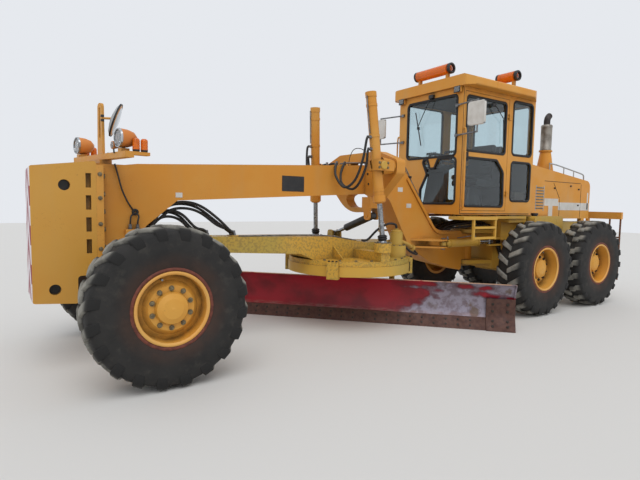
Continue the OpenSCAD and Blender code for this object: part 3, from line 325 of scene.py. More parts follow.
def worn_paint(name, slot, colour, faded, dust=0.2, chips=0.5, grit=0.0):
    """Paint that has faded in patches, with dust in streaks, painted shade and grime in corners, and worn edges."""
    f = Finish(name, slot)
    shade = f.mix(f.spread(f.noise(0.8, 4), 0.38, 0.62), srgb(colour), srgb(faded))
    streak = f.spread(f.noise(3.5, 5, stretch=(1, 1, 0.15)), 0.48, 0.75, 0, dust)
    shade = f.mix(streak, shade, DUST)
    # Painted shade: darker brown where ambient occlusion finds a corner, in patches like grime
    corner = f.product(f.corners(0.12), f.spread(f.noise(9, 4), 0.3, 0.6, 0.25, 0.75))
    shade = f.mix(corner, shade, SHADE_AND_GRIME)
    speck = f.product(f.spread(f.noise(95, 2), 0.66, 0.72), f.spread(f.noise(2.3, 2), 0.48, 0.62))
    worn = f.product(f.edges(0.006), f.spread(f.noise(14, 4), 0.46, 0.6))
    chip = f.product(f.maths("MAXIMUM", speck, worn), chips)
    shade = f.mix(chip, shade, RUST)
    if grit:
        grains = f.spread(f.noise(38, 4), 0.45, 0.62, 0, grit)
        shade = f.mix(grains, shade, srgb("8A7440"))
        f.bump(f.noise(45, 5), 0.004, 0.8)
    else:
        f.bump(f.noise(30, 3), 0.0006, 0.6)
    gloss = f.spread(f.noise(5, 4), 0.3, 0.7, 0.36, 0.62)
    return f.set(Base_Color=shade, Roughness=gloss, Specular_IOR_Level=0.4)


def from_axle(f, axle):
    """Distance from a wheel axle's line."""
    hub = middle(f"tyre_{axle}_left")
    along = f.maths("SUBTRACT", f.axis("X"), hub.x)
    above = f.maths("SUBTRACT", f.axis("Z"), hub.z)
    squares = f.maths("ADD", f.product(along, along), f.product(above, above))
    return f.maths("SQRT", squares)


def rubber(name, axle):
    """Tyre rubber, brown with old mud towards the rim."""
    f = Finish(name, "tyre_rubber")
    shade = f.mix(f.spread(f.noise(4, 5), 0.35, 0.7), srgb("1A1918"), srgb("282624"))
    shade = f.mix(f.spread(f.noise(12, 5), 0.5, 0.75, 0, 0.2), shade, srgb("5A554C"))
    near_rim = f.spread(from_axle(f, axle), 0.50, 0.36)
    mud = f.product(near_rim, f.spread(f.noise(6, 4), 0.3, 0.6, 0.3, 0.8))
    shade = f.mix(mud, shade, srgb("3E2A20"))
    return f.set(Base_Color=shade, Roughness=0.78).bump(f.noise(70, 4), 0.0012, 0.7)


def lug_rubber(name, axle):
    """Rubber of the tread, grey with dust on the lugs' tops and clean towards the shoulders."""
    f = Finish(name, "tyre_rubber")
    off_middle = f.maths("ABSOLUTE", f.maths("SUBTRACT", f.maths("ABSOLUTE", f.axis("Y")), AXLE.y))
    # The tyres stand on the ground, so the axle's height is their radius
    top = f.spread(from_axle(f, axle), AXLE.z - 0.045, AXLE.z - 0.012)
    dusty = f.product(top, f.spread(off_middle, 0.19, 0.13))
    dusty = f.product(dusty, f.spread(f.noise(7, 5), 0.35, 0.6, 0.45, 1))
    shade = f.mix(dusty, srgb("1D1C1B"), srgb("928F86"))
    return f.set(Base_Color=shade, Roughness=0.85).bump(f.noise(90, 4), 0.0015, 0.8)


def metal(name, slot, colour, dark, roughness, shine=1.0, scale=20):
    f = Finish(name, slot)
    shade = f.mix(f.spread(f.noise(scale, 5), 0.35, 0.7), srgb(colour), srgb(dark))
    gloss = f.spread(f.noise(8, 3), 0.3, 0.7, roughness - 0.08, roughness + 0.12)
    return f.set(Base_Color=shade, Metallic=shine, Roughness=gloss).bump(f.noise(60, 3), 0.0006, 0.5)


def plain_finish(name, slot, colour, dark, roughness, scale=15):
    f = Finish(name, slot)
    shade = f.mix(f.spread(f.noise(scale, 4), 0.35, 0.7), srgb(colour), srgb(dark))
    return f.set(Base_Color=shade, Roughness=roughness).bump(f.noise(120, 2), 0.0005, 0.5)


def clear_finish(name, slot, colour, roughness, see_through=1.0):
    f = Finish(name, slot)
    return f.set(Base_Color=srgb(colour), Roughness=roughness, IOR=1.45, Transmission_Weight=see_through)


def blade_paint(name, slot):
    """Deep red paint, whole at the blade's right and worn to grey steel with red outlines at its left."""
    f = Finish(name, slot)
    along = f.axis("Y", BLADE_ANGLE, CIRCLE_PLACE)
    height = f.axis("Z")
    patches = f.noise(1.6, 2, stretch=(1, 1, 2.4))
    wander = f.noise(4.5, 4)
    worn = f.maths("ADD", patches, f.spread(along, 0.0, 1.5, -0.22, 0.13))
    worn = f.maths("ADD", worn, f.product(f.maths("SUBTRACT", wander, 0.5), 0.28))
    bare = f.spread(worn, 0.5, 0.53)
    outline = f.maths("SUBTRACT", f.spread(worn, 0.46, 0.5), f.spread(worn, 0.53, 0.57))
    paint = f.mix(f.spread(f.noise(2.5, 4), 0.4, 0.65), srgb("A51428"), srgb("7E0F1E"))
    steel = f.mix(f.spread(f.noise(11, 5), 0.4, 0.62), srgb("9A93A0"), srgb("7C6F77"))
    shade = f.mix(bare, paint, steel)
    shade = f.mix(f.product(outline, 0.55), shade, srgb("5E1020"))
    rust = f.product(f.spread(f.noise(5, 5), 0.58, 0.66), f.spread(along, 0.7, 1.8))
    shade = f.mix(f.product(rust, 0.8), shade, srgb("6A5540"))
    scuffs = f.spread(f.noise(9, 6, (1, 1, 6)), 0.3, 0.75, 0, 0.7)
    shade = f.mix(f.product(f.spread(height, 0.21, 0.155), scuffs), shade, srgb("96736A"))
    rim = f.product(f.spread(height, 0.585, 0.597), f.spread(f.noise(9, 4), 0.3, 0.5))
    shade = f.mix(rim, shade, srgb("C9A184"))
    gloss = f.spread(bare, 0, 1, 0.38, 0.42)
    f.set(Base_Color=shade, Metallic=f.spread(bare, 0, 1, 0, 0.45), Roughness=gloss)
    return f.bump(bare, 0.0008, 0.5)


def chevron_paint(name, *base):
    """The weight's yellow paint with white and dull red chevrons on its front face."""
    f = worn_paint(name, *base)
    front = high("nose_weight").x - 0.006
    across = f.maths("ABSOLUTE", f.axis("Y"))
    climb = f.maths("ADD", f.axis("Z"), f.product(across, CHEVRON_SLOPE))
    stripe = f.maths("FRACT", f.maths("DIVIDE", climb, CHEVRON_PITCH))
    red = f.spread(f.maths("PINGPONG", stripe, 0.5), 0.24, 0.26)
    panel = f.mix(red, srgb("E9E2E4"), srgb("A0515C"))
    painted = f.maths("GREATER_THAN", f.axis("X"), front)
    under = f.shader.inputs["Base Color"].links[0].from_socket
    return f.set(Base_Color=f.mix(painted, under, panel))


# name: [slot, colour, faded colour, dust, chips, grit]
PAINTS = {
    "cab_paint": ["yellow_paint", "DA9434", "DC9F48", 0.2, 0.45],
    "beam_paint": ["yellow_paint", "D48E30", "D69A44"],
    "rim_paint": ["yellow_paint", "DC9A38", "D8A248", 0.2, 0.6],
    "ring_paint": ["yellow_paint", "E2A24C", "DCAA5A", 0.1],
    "lamp_paint": ["lamp_metal", "D07A30", "DA8A42", 0.2, 0.4],
    "old_paint": ["old_yellow_paint", "CFA03E", "BF9F4A", 0.25, 0.7],
    "gritty_paint": ["old_yellow_paint", "CFA03C", "B69A44", 0.25, 0.7, 0.6],
}
# name: [slot, colour, dark colour, roughness, metallic share, scale of the patches]
METALS = {
    "rusty_edge": ["rusty_steel", "5E4036", "4A302A", 0.6, 0.35],
    "rusty_rim_edge": ["rusty_steel", "7A4030", "5A2E24", 0.6, 0.15],
    "brown_rust": ["rusty_steel", "7A4C30", "5A3A28", 0.75, 0.1],
    "burnt_steel": ["rusty_steel", "4A4340", "332C2A", 0.65, 0.3, 12],
    "dark_nut": ["rusty_steel", "3E352E", "2C2622", 0.55, 0.4, 40],
    "dull_nut": ["worn_steel", "8C8064", "5F5644", 0.5, 0.5, 40],
    "worn_steel": ["worn_steel", "8E8F91", "5F6062", 0.45, 0.85],
    "muffler_steel": ["worn_steel", "A9A39A", "7E766C", 0.5, 0.7, 9],
    "lamp_ring": ["worn_steel", "C5C7C9", "8F9193", 0.2],
    "silvered_glass": ["worn_steel", "C9CDD0", "B5BABD", 0.12, 1.0, 3],
    "ground_rod": ["rod_steel", "A7A9AB", "77787A", 0.25, 1.0, 40],
}
# name: [slot, colour, dark colour, roughness, scale of the patches]
PLAINS = {
    "satin_black": ["black_paint", "1D1D1F", "2B2A2A", 0.45],
    "window_rubber": ["black_paint", "141415", "1E1E1F", 0.6],
    "hose_rubber": ["black_paint", "1A1A1B", "2A2825", 0.5, 30],
    "dark_lining": ["black_paint", "2A2B2C", "353433", 0.8, 8],
    "brown_locker": ["black_paint", "5A4634", "463727", 0.8, 8],
    "seat_vinyl": ["seat_vinyl", "1B1C20", "26272C", 0.55, 25],
    "white_paint": ["yellow_paint", "DAD8D2", "C9C5BC", 0.5, 6],
    "grey_plate": ["worn_steel", "A9ADAE", "8F9496", 0.5, 6],
}
# name: [slot, colour, roughness, share of light let through]
CLEARS = {
    "tinted_glass": ["tinted_glass", "DCE9EC", 0.02],
    "amber_lens": ["amber_lens", "F27A18", 0.12, 0.35],
    "lamp_lens": ["lamp_metal", "E8ECEE", 0.06, 0.8],
}


def make_finishes():
    made = {
        "worn_blade_red": blade_paint("worn_blade_red", "red_blade"),
        "weight_paint": chevron_paint("weight_paint", "yellow_paint", "CD8D34", "D09A42", 0.12, 0.4),
    }
    for make, table in ((worn_paint, PAINTS), (metal, METALS), (plain_finish, PLAINS),
                        (clear_finish, CLEARS)):
        made.update({name: make(name, *row) for name, row in table.items()})
    for axle in AXLES:
        for make, name in ((rubber, "dusty_rubber_" + axle), (lug_rubber, "lug_rubber_" + axle)):
            made[name] = make(name, axle)
    return made


FINISHES = make_finishes()

NODE_FINISHES = {
    "cab_paint": ["cab_shell", "cab_roof", "cab_door", "hood", "exhaust", "rear_bumper"],
    "beam_paint": ["front_frame", "lift_saddle", "light_bar", "nose_mirror", "lift_barrel_left",
                   "lift_barrel_right"],
    "weight_paint": ["nose_weight"],
    "old_paint": ["rear_frame", "tandem_left", "tandem_right", "side_tanks", "cab_steps", "front_axle",
                  "knuckle_left", "knuckle_right", "circle", "circle_drive", "hinge_barrel_left",
                  "hinge_barrel_right"],
    "gritty_paint": ["drawbar"],
    "rim_paint": ["rim_" + wheel for wheel in WHEELS],
    **{"dusty_rubber_" + axle: [f"tyre_{axle}_{side}" for side in SIDES] for axle in AXLES},
    "worn_blade_red": ["moldboard"],
    "rusty_edge": ["cutting_edge"],
    "brown_rust": ["rear_ladders"],
    "worn_steel": ["engine", "tie_rod", "cab_mirrors"],
    "ground_rod": ["lift_rod_left", "lift_rod_right", "shift_rod", "hinge_rod_left", "hinge_rod_right"],
    "satin_black": ["shift_barrel", "driver_chair", "control_console"],
    "tinted_glass": ["cab_glass", "door_glass"],
    "amber_lens": ["beacons"],
    "lamp_paint": ["headlamps"],
}


def new_tree(name, sockets):
    """A geometry tree with a Mesh input and output, and the named inputs."""
    tree = bpy.data.node_groups.new(name, "GeometryNodeTree")
    tree.interface.new_socket("Mesh", in_out="INPUT", socket_type="NodeSocketGeometry")
    for label, kind in sockets:
        tree.interface.new_socket(label, in_out="INPUT", socket_type="NodeSocket" + kind)
    tree.interface.new_socket("Mesh", in_out="OUTPUT", socket_type="NodeSocketGeometry")
    return tree, tree.nodes.new("NodeGroupInput").outputs, tree.nodes.new("NodeGroupOutput").inputs


def chain(tree, steps, source, target):
    """Joins nodes one after another from source to target through their first sockets."""
    for step in steps:
        tree.links.new(source, step.inputs[0])
        source = step.outputs[0]
    tree.links.new(source, target)


def copies_tree():
    """Copies of the mesh, each turned about a pivot and stepped on from the one before."""
    tree, given, result = new_tree("Copies in a row or ring", [
        ("Count", "Int"), ("Turn per copy", "Vector"), ("Pivot", "Vector"), ("Step per copy", "Vector"),
        ("Finish", "Material")])
    add = tree.nodes.new
    link = tree.links.new
    group = add("GeometryNodeGeometryToInstance")
    repeat = add("GeometryNodeDuplicateElements")
    repeat.domain = "INSTANCE"
    link(given["Count"], repeat.inputs["Amount"])
    turn = add("GeometryNodeRotateInstances")
    turn.inputs["Local Space"].default_value = False
    move = add("GeometryNodeTranslateInstances")
    move.inputs["Local Space"].default_value = False
    link(given["Pivot"], turn.inputs["Pivot Point"])
    to_rotation = add("FunctionNodeEulerToRotation")
    for label, target in (("Turn per copy", to_rotation.inputs[0]),
                          ("Step per copy", move.inputs["Translation"])):
        times = add("ShaderNodeVectorMath")
        times.operation = "SCALE"
        link(given[label], times.inputs[0])
        link(repeat.outputs["Duplicate Index"], times.inputs["Scale"])
        link(times.outputs[0], target)
    link(to_rotation.outputs[0], turn.inputs["Rotation"])
    paint = add("GeometryNodeSetMaterial")
    link(given["Finish"], paint.inputs["Material"])
    steps = [group, repeat, turn, move, add("GeometryNodeRealizeInstances"), paint]
    chain(tree, steps, given["Mesh"], result[0])
    return tree


def tube_tree():
    """Round tube along the mesh's edges."""
    tree, given, result = new_tree("Tube along a path", [
        ("Radius", "Float"), ("Sides", "Int"), ("Smoothness", "Int"), ("Finish", "Material")])
    add = tree.nodes.new
    link = tree.links.new
    soft = add("GeometryNodeCurveSplineType")
    soft.spline_type = "CATMULL_ROM"
    fine = add("GeometryNodeSetSplineResolution")
    link(given["Smoothness"], fine.inputs["Resolution"])
    profile = add("GeometryNodeCurvePrimitiveCircle")
    link(given["Radius"], profile.inputs["Radius"])
    link(given["Sides"], profile.inputs["Resolution"])
    sweep = add("GeometryNodeCurveToMesh")
    link(profile.outputs[0], sweep.inputs["Profile Curve"])
    sweep.inputs["Fill Caps"].default_value = True
    paint = add("GeometryNodeSetMaterial")
    link(given["Finish"], paint.inputs["Material"])
    steps = [add("GeometryNodeMeshToCurve"), soft, fine, sweep, add("GeometryNodeRealizeInstances"), paint]
    chain(tree, steps, given["Mesh"], result[0])
    return tree


TREES = {"copies": copies_tree(), "tube": tube_tree()}


def round_edges(thing, width):
    rounding = thing.modifiers.new("Rounded edges", "BEVEL")
    rounding.width = width
    rounding.segments = 2
    rounding.limit_method = "ANGLE"
    rounding.angle_limit = math.radians(ROUNDED_FROM_DEGREES)


def run_tree(name, mesh, finish, values, bevel=0.0):
    """The mesh that a tree makes of a mesh, with its modifier gone."""
    helper = bpy.data.objects.new("helper", mesh)
    bpy.context.scene.collection.objects.link(helper)
    if bevel:
        round_edges(helper, bevel)
    modifier = helper.modifiers.new("Tree", "NODES")
    modifier.node_group = TREES[name]
    values["Finish"] = finish.material
    for item in TREES[name].interface.items_tree:
        if item.in_out == "INPUT" and item.name in values:
            modifier[item.identifier] = values[item.name]
    depsgraph = bpy.context.evaluated_depsgraph_get()
    made = bpy.data.meshes.new_from_object(helper.evaluated_get(depsgraph), depsgraph=depsgraph)
    bpy.data.objects.remove(helper)
    bpy.data.meshes.remove(mesh)
    return made


class Shape:
    """Collects the solids of one piece, in the row frame."""

    def __init__(self, finish):
        self.finish = FINISHES[finish]
        self.bm = bmesh.new()

    def add(self, mesh):
        """Adds a finished mesh, such as what a node tree made."""
        self.bm.from_mesh(mesh)
        bpy.data.meshes.remove(mesh)
        return self

    def loft(self, rings, capped=True):
        """Skin over closed rings of points, each with as many points as the last."""
        rows = [[self.bm.verts.new(p) for p in ring] for ring in rings]
        faces = []
        for a, b in zip(rows, rows[1:]):
            for i in range(len(a)):
                j = (i + 1) % len(a)
                faces.append(self.bm.faces.new((a[i], a[j], b[j], b[i])))
        if capped:
            faces.append(self.bm.faces.new(rows[0]))
            faces.append(self.bm.faces.new(rows[-1]))
        bmesh.ops.recalc_face_normals(self.bm, faces=faces)
        return self

    def box(self, lowest, highest, turn=None):
        """A box, turned about its own middle."""
        (x0, y0, z0), (x1, y1, z1) = lowest, highest
        rings = [[(x0, y0, z), (x1, y0, z), (x1, y1, z), (x0, y1, z)] for z in (z0, z1)]
        if turn is not None:
            centre = (Vector(lowest) + Vector(highest)) / 2
            rings = [[centre + turn @ (Vector(p) - centre) for p in ring] for ring in rings]
        return self.loft(rings)

    def lathe(self, place, axis, profile, steps=48, capped=True):
        """Turned solid. Profile is [distance along the axis, radius]."""
        turn = UP.rotation_difference(Vector(axis)).to_matrix()
        angles = [2 * math.pi * i / steps for i in range(steps)]
        rings = []
        for along, radius in profile:
            radius = max(radius, POINT_RADIUS)
            rings.append([Vector(place) + turn @ Vector((radius * math.cos(a), radius * math.sin(a), along))
                          for a in angles])
        return self.loft(rings, capped)

    def hoop(self, place, axis, profile, steps=48):
        """Turned ring, whose profile closes on itself."""
        return self.lathe(place, axis, profile + profile[:1], steps, capped=False)

    def bar(self, start, end, width, steps=16):
        span = Vector(end) - Vector(start)
        return self.lathe(start, span, [[0, width / 2], [span.length, width / 2]], steps)

    def plate(self, outline, x, thickness):
        """A plate square to X; outline points are (y, z)."""
        return self.loft([[(end, y, z) for y, z in outline] for end in (x, x + thickness)])

    def bolts(self, places, axis, across):
        """Hex bolt heads on washers."""
        washer = [[-0.002, across * 0.66], [across * 0.1, across * 0.66]]
        head = [[across * 0.1, across * 0.55], [across * 0.42, across * 0.55], [across * 0.5, across * 0.42]]
        for place in places:
            self.lathe(place, axis, washer, 16).lathe(place, axis, head, 6)
        return self

    def fittings(self, places, axis, width):
        """Hex fittings with a collar, where hoses end."""
        nut = [[-0.004, width * 0.75], [width * 0.7, width * 0.75]]
        collar = [[width * 0.7, width * 0.58], [width * 1.9, width * 0.58]]
        for place in places:
            self.lathe(place, axis, nut, 6).lathe(place, axis, collar, 16)
        return self

    def tube(self, points, width, smoothness=5, sides=10):
        """A hose, pipe or rubber seal along a smooth path."""
        line = bpy.data.meshes.new("path")
        line.from_pydata([tuple(p) for p in points], [(i - 1, i) for i in range(1, len(points))], [])
        return self.add(run_tree("tube", line, self.finish, {
            "Radius": width / 2, "Sides": sides, "Smoothness": smoothness}))

    def hoses(self, paths, width):
        """Several hoses of one width."""
        for path in paths:
            self.tube(path, width, smoothness=6)
        return self

    def copied(self, count, turn=(0, 0, 0), pivot=(0, 0, 0), step=(0, 0, 0), bevel=0.0):
        """Many copies as one shape; turn is in degrees about each axis, from each copy to the next."""
        self.add(run_tree("copies", self.mesh("copied"), self.finish, {
            "Count": count, "Turn per copy": [math.radians(t) for t in turn], "Pivot": list(pivot),
            "Step per copy": list(step)}, bevel))
        return self

    def mirrored(self):
        """Adds the mirror image on the machine's other side."""
        made = bmesh.ops.duplicate(self.bm, geom=[*self.bm.verts, *self.bm.edges, *self.bm.faces])["geom"]
        for vertex in made:
            if isinstance(vertex, bmesh.types.BMVert):
                vertex.co.y = -vertex.co.y
        bmesh.ops.reverse_faces(self.bm, faces=[f for f in made if isinstance(f, bmesh.types.BMFace)])
        return self

    def mesh(self, name):
        """The shape as a mesh; the shape is empty afterwards."""
        made = bpy.data.meshes.new(name)
        self.bm.to_mesh(made)
        self.bm.clear()
        return made

    def piece(self, name, body, replaces=(), bevel=0.0, smooth=35, bend=None):
        """An object that rides on its body. Bend is (second body, start, end), for one that bends over."""
        bmesh.ops.remove_doubles(self.bm, verts=self.bm.verts, dist=SAME_PLACE)
        made = self.mesh(name)
        self.bm.free()
        made.materials.append(self.finish.material)
        made.shade_smooth()
        made.set_sharp_from_angle(angle=math.radians(smooth))
        piece = bpy.data.objects.new(name, made)
        bpy.context.scene.collection.objects.link(piece)
        if bevel:
            round_edges(piece, bevel)
        if bend:
            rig.blend(piece, body, *bend)
        else:
            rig.ride(piece, body)
        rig.slot(piece, self.finish.slot)
        if replaces:
            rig.replaces(piece, *replaces)
        return piece


def rounded_outline(a0, b0, a1, b1, radius, steps=6):
    """Rectangle with round corners, as (a, b) points."""
    points = []
    corners = ((a1 - radius, b1 - radius), (a0 + radius, b1 - radius),
               (a0 + radius, b0 + radius), (a1 - radius, b0 + radius))
    for quarter, (a, b) in enumerate(corners):
        for i in range(steps + 1):
            angle = math.radians(90 * quarter + 90 * i / steps)
            points.append((a + radius * math.cos(angle), b + radius * math.sin(angle)))
    return points


def length(name, description, default):
    return bpy.props.FloatProperty(name=name, description=description, default=default, unit="LENGTH")


class StageSizes(bpy.types.PropertyGroup):
    floor_width: length("Floor width", "Width of the pale floor", 60)
    floor_colour: bpy.props.FloatVectorProperty(
        name="Floor colour", description="Colour of the floor", default=srgb("D9D7D3")[:3], subtype="COLOR")
    sky_colour: bpy.props.FloatVectorProperty(
        name="Sky colour", description="Colour of the backdrop", default=srgb("E6E9EE")[:3], subtype="COLOR")
    sky_light: bpy.props.FloatProperty(
        name="Sky light", description="Strength of the soft light from all sides", default=0.85)
    sun_light: bpy.props.FloatProperty(
        name="Sun light", description="Strength of the broad light from above", default=1.1)


class WheelSizes(bpy.types.PropertyGroup):
    lug_count: bpy.props.IntProperty(
        name="Lugs a side", description="Tread lugs on each side of a tyre", default=20)
    lug_height: length("Lug height", "Height of a lug over the tyre's body", 0.030)
    nut_count: bpy.props.IntProperty(
        name="Wheel nuts", description="Nuts on each wheel", default=10)


class GRADER_OT_stage(bpy.types.Operator):
    """Make the floor, the backdrop, the light and the camera"""

    bl_idname = "grader.stage"
    bl_label = "Stage"

    sun_spread = 50
    sun_turn = (-28, 14, 0)
    floor_roughness = 0.9

    def execute(self, context):
        sizes = context.scene.grader_stage
        scene = context.scene
        self.camera(scene)
        self.floor(scene, sizes)
        self.sky(scene, sizes)
        self.sun(scene, sizes)
        scene.view_settings.view_transform = "Standard"
        return {"FINISHED"}

    def camera(self, scene):
        yaw, pitch, roll = (math.radians(a) for a in (CAMERA_YAW, CAMERA_PITCH, CAMERA_ROLL))
        ahead = Vector((math.cos(pitch) * math.cos(yaw), math.cos(pitch) * math.sin(yaw), math.sin(pitch)))
        right = ahead.cross(UP).normalized()
        up = right.cross(ahead)
        tilted_right = math.cos(roll) * right + math.sin(roll) * up
        tilted_up = -math.sin(roll) * right + math.cos(roll) * up
        data = bpy.data.cameras.new("Photo camera")
        data.sensor_width = SENSOR_WIDTH_MM
        data.lens = FOCAL_PIXELS / PHOTO_WIDTH_PIXELS * SENSOR_WIDTH_MM
        camera = bpy.data.objects.new("Photo camera", data)
        turn = Matrix((tilted_right, tilted_up, -ahead)).transposed().to_4x4()
        camera.matrix_world = Matrix.Translation(CAMERA_PLACE) @ turn
        scene.collection.objects.link(camera)
        scene.camera = camera

    def floor(self, scene, sizes):
        half = sizes.floor_width / 2
        mesh = bpy.data.meshes.new("floor")
        corners = [(-half, -half, 0), (half, -half, 0), (half, half, 0), (-half, half, 0)]
        mesh.from_pydata(corners, [], [(0, 1, 2, 3)])
        material = bpy.data.materials.new("pale_floor")
        material.use_nodes = True
        shader = material.node_tree.nodes["Principled BSDF"]
        shader.inputs["Base Color"].default_value = (*sizes.floor_colour, 1)
        shader.inputs["Roughness"].default_value = self.floor_roughness
        mesh.materials.append(material)
        floor = bpy.data.objects.new("floor", mesh)
        scene.collection.objects.link(floor)
        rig.stage(floor)

    def sky(self, scene, sizes):
        """The backdrop as the camera, mirrors and glass see it, and a dimmer one that lights the rest."""
        world = bpy.data.worlds.new("Soft sky")
        world.use_nodes = True
        nodes, link = world.node_tree.nodes, world.node_tree.links.new
        nodes.clear()

        def either(first, second):
            made = nodes.new("ShaderNodeMath")
            made.operation = "MAXIMUM"
            link(first, made.inputs[0])
            link(second, made.inputs[1])
            return made.outputs[0]

        def backdrop(strength):
            made = nodes.new("ShaderNodeBackground")
            made.inputs["Color"].default_value = (*sizes.sky_colour, 1)
            made.inputs["Strength"].default_value = strength
            return made.outputs[0]

        ray = nodes.new("ShaderNodeLightPath").outputs
        seen = either(ray["Is Camera Ray"], either(ray["Is Glossy Ray"], ray["Is Transmission Ray"]))
        mix = nodes.new("ShaderNodeMixShader")
        for given, taken in zip((seen, backdrop(sizes.sky_light), backdrop(1)), mix.inputs):
            link(given, taken)
        link(mix.outputs[0], nodes.new("ShaderNodeOutputWorld").inputs[0])
        scene.world = world

    def sun(self, scene, sizes):
        sun = bpy.data.lights.new("Broad sun", "SUN")
        sun.energy = sizes.sun_light
        sun.angle = math.radians(self.sun_spread)
        lamp = bpy.data.objects.new("Broad sun", sun)
        lamp.rotation_euler = [math.radians(a) for a in self.sun_turn]
        scene.collection.objects.link(lamp)


class GRADER_OT_finishes(bpy.types.Operator):
    """Give every construction node its finish"""

    bl_idname = "grader.finishes"
    bl_label = "Finishes"

    def execute(self, context):
        for finish, names in NODE_FINISHES.items():
            for name in names:
                node = FRAME["nodes"][name]
                node.data.materials.clear()
                node.data.materials.append(FINISHES[finish].material)
                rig.slot(node, FINISHES[finish].slot)
        return {"FINISHED"}


class GRADER_OT_tyres(bpy.types.Operator):
    """Make the tyres with their tread lugs"""

    bl_idname = "grader.tyres"
    bl_label = "Tyres"

    bead = 0.305
    # Half a section from the bead to the shoulder, as [share of the half width, distance over the bead], and
    # on to the crown, as [share of the half width, distance below the tyre's body]
    side_wall = [[0.78, 0], [0.86, 0.028], [0.93, 0.05], [0.975, 0.10], [1.0, 0.17]]
    crown = [[0.985, 0.10], [0.94, 0.045], [0.86, 0.016], [0.6, 0.002], [0.3, 0]]
    # Sections across a lug, from the tread's middle over the shoulder, as [share of the half width, top's
    # distance below the tip, base's distance below the body, degrees along the tread, half width]
    slanted_lug = [[0.02, 0, 0.02, 0, 0.030], [0.35, 0.001, 0.02, -3.2, 0.032],
                   [0.70, 0.006, 0.02, -6.6, 0.037], [0.90, 0.020, 0.04, -8.6, 0.042],
                   [0.985, 0.055, 0.09, -9.4, 0.042], [1.0, 0.11, 0.14, -9.9, 0.036]]
    block_lug = [[0.03, 0, 0.02, 0, 0.036], [0.45, 0, 0.02, -1.0, 0.036], [0.50, 0, 0.02, -3.4, 0.036],
                 [0.86, 0.008, 0.03, -4.0, 0.040], [0.985, 0.035, 0.07, -4.2, 0.042],
                 [0.995, 0.085, 0.11, -4.4, 0.038]]
    inside = 0.70
    shoulder = 0.95
    base_spread = 1.25
    lug_bevel = 0.004

    def execute(self, context):
        sizes = context.scene.grader_wheels
        for axle in AXLES:
            for side in SIDES:
                self.tyre(axle, f"{axle}_{side}", sizes)
        return {"FINISHED"}

    def tyre(self, axle, wheel, sizes):
        node = "tyre_" + wheel
        centre = middle(node)
        tip = high(node).z - centre.z
        half = high(node).y - centre.y
        body = tip - sizes.lug_height
        profile = [[share * half, self.bead + over] for share, over in self.side_wall]
        profile += [[share * half, body - below] for share, below in self.crown]
        profile += [[-along, radius] for along, radius in reversed(profile)]
        profile += [[-self.inside * half, self.bead], [self.inside * half, self.bead]]
        Shape("dusty_rubber_" + axle).hoop(centre, LEFT, profile, 72).piece(
            "carcass_" + wheel, "wheel_" + wheel, replaces=[node], smooth=50)
        pitch = 360 / sizes.lug_count
        lugs = Shape("lug_rubber_" + axle)
        for side in SIDES.values():
            start = 0 if side > 0 else pitch / 2
            lug = Shape("lug_rubber_" + axle).loft(self.lug(centre, half, body, tip, side, start, axle))
            lug.copied(sizes.lug_count, turn=(0, pitch, 0), pivot=centre, bevel=self.lug_bevel)
            lugs.add(lug.mesh("lugs"))
        lugs.piece("lugs_" + wheel, "wheel_" + wheel, smooth=40)

    def lug(self, centre, half, body, tip, side, start, axle):
        """Rings of one lug, from the tread's middle over the shoulder."""
        sections = self.block_lug if axle == "rear" else self.slanted_lug
        rings = []
        for share, sink, base_sink, lead, half_width in sections:
            y = min(share * half, half - 0.0005) * side
            inset = 0.02 * side if share > self.shoulder else 0
            top, base = tip - sink, body - base_sink
            turn = math.radians(start + lead)
            foot = half_width * self.base_spread
            corners = [(base, foot, inset), (base, -foot, inset), (top, -half_width, 0), (top, half_width, 0)]
            rings.append([centre + Vector((radius * math.sin(turn + width / radius), y - shift,
                                           radius * math.cos(turn + width / radius)))
                          for radius, width, shift in corners])
        return rings


POST_FRONT = low("nose_weight").x
WEIGHT_FRONT = high("nose_weight").x
BEAM_SIDE = 0.16
CAB_LOW, CAB_HIGH = low("cab_shell"), high("cab_shell")
CAB_FRONT, CAB_SIDE = CAB_HIGH.x, -CAB_LOW.y
CAB_WALL = 0.042
HOOD_LOW, HOOD_HIGH = low("hood"), high("hood")
HOOD_SLOPE = math.atan(0.22 / (HOOD_HIGH.x - HOOD_LOW.x))
LAMP_PLACE = Vector((AXLE.x + 0.327, 0, 2.0))
LAMP_TURN = Matrix.Rotation(math.radians(12), 3, "Z")
LIFT_BALL_RADIUS = 0.052
LIFT_BALL = Vector((low("lift_rod_left").x + LIFT_BALL_RADIUS, high("lift_rod_left").y - LIFT_BALL_RADIUS,
                    low("lift_rod_left").z + LIFT_BALL_RADIUS))
LIFT_LEAN = Vector((0.135, -0.137, 1.78)).normalized()
BLADE_TURN = Matrix.Rotation(math.radians(BLADE_ANGLE), 3, "Z")
BLADE_HALF = 2.135
PLATE_TOP = 0.89
HITCH_X = -1.42


def on_side(point, side):
    """The point, mirrored to the right when side is -1."""
    return Vector((point[0], point[1] * side, point[2]))


def on_lamp_bar(x, y, z):
    """Place over the lamp bar's middle, which stands a little turned on the post."""
    return LAMP_PLACE + LAMP_TURN @ Vector((x, y, z))


def on_blade(x, y, z):
    """Place in the blade's own frame: x ahead of it, y along it to the left."""
    return CIRCLE_PLACE + BLADE_TURN @ Vector((x, y, z))


def along_lift(z):
    """Place on the left lift cylinder's axis at a height."""
    return LIFT_BALL + LIFT_LEAN * ((z - LIFT_BALL.z) / LIFT_LEAN.z)


def around(centre, first, second, degrees):
    """Places round a centre; first and second are the ring's half widths, each with its direction."""
    return [centre + first * math.cos(math.radians(a)) + second * math.sin(math.radians(a)) for a in degrees]


def drawbar_top(x):
    """Height of the drawbar's top, which falls a little towards the rear."""
    return 1.207 - 0.0192 * (3.12 - x)


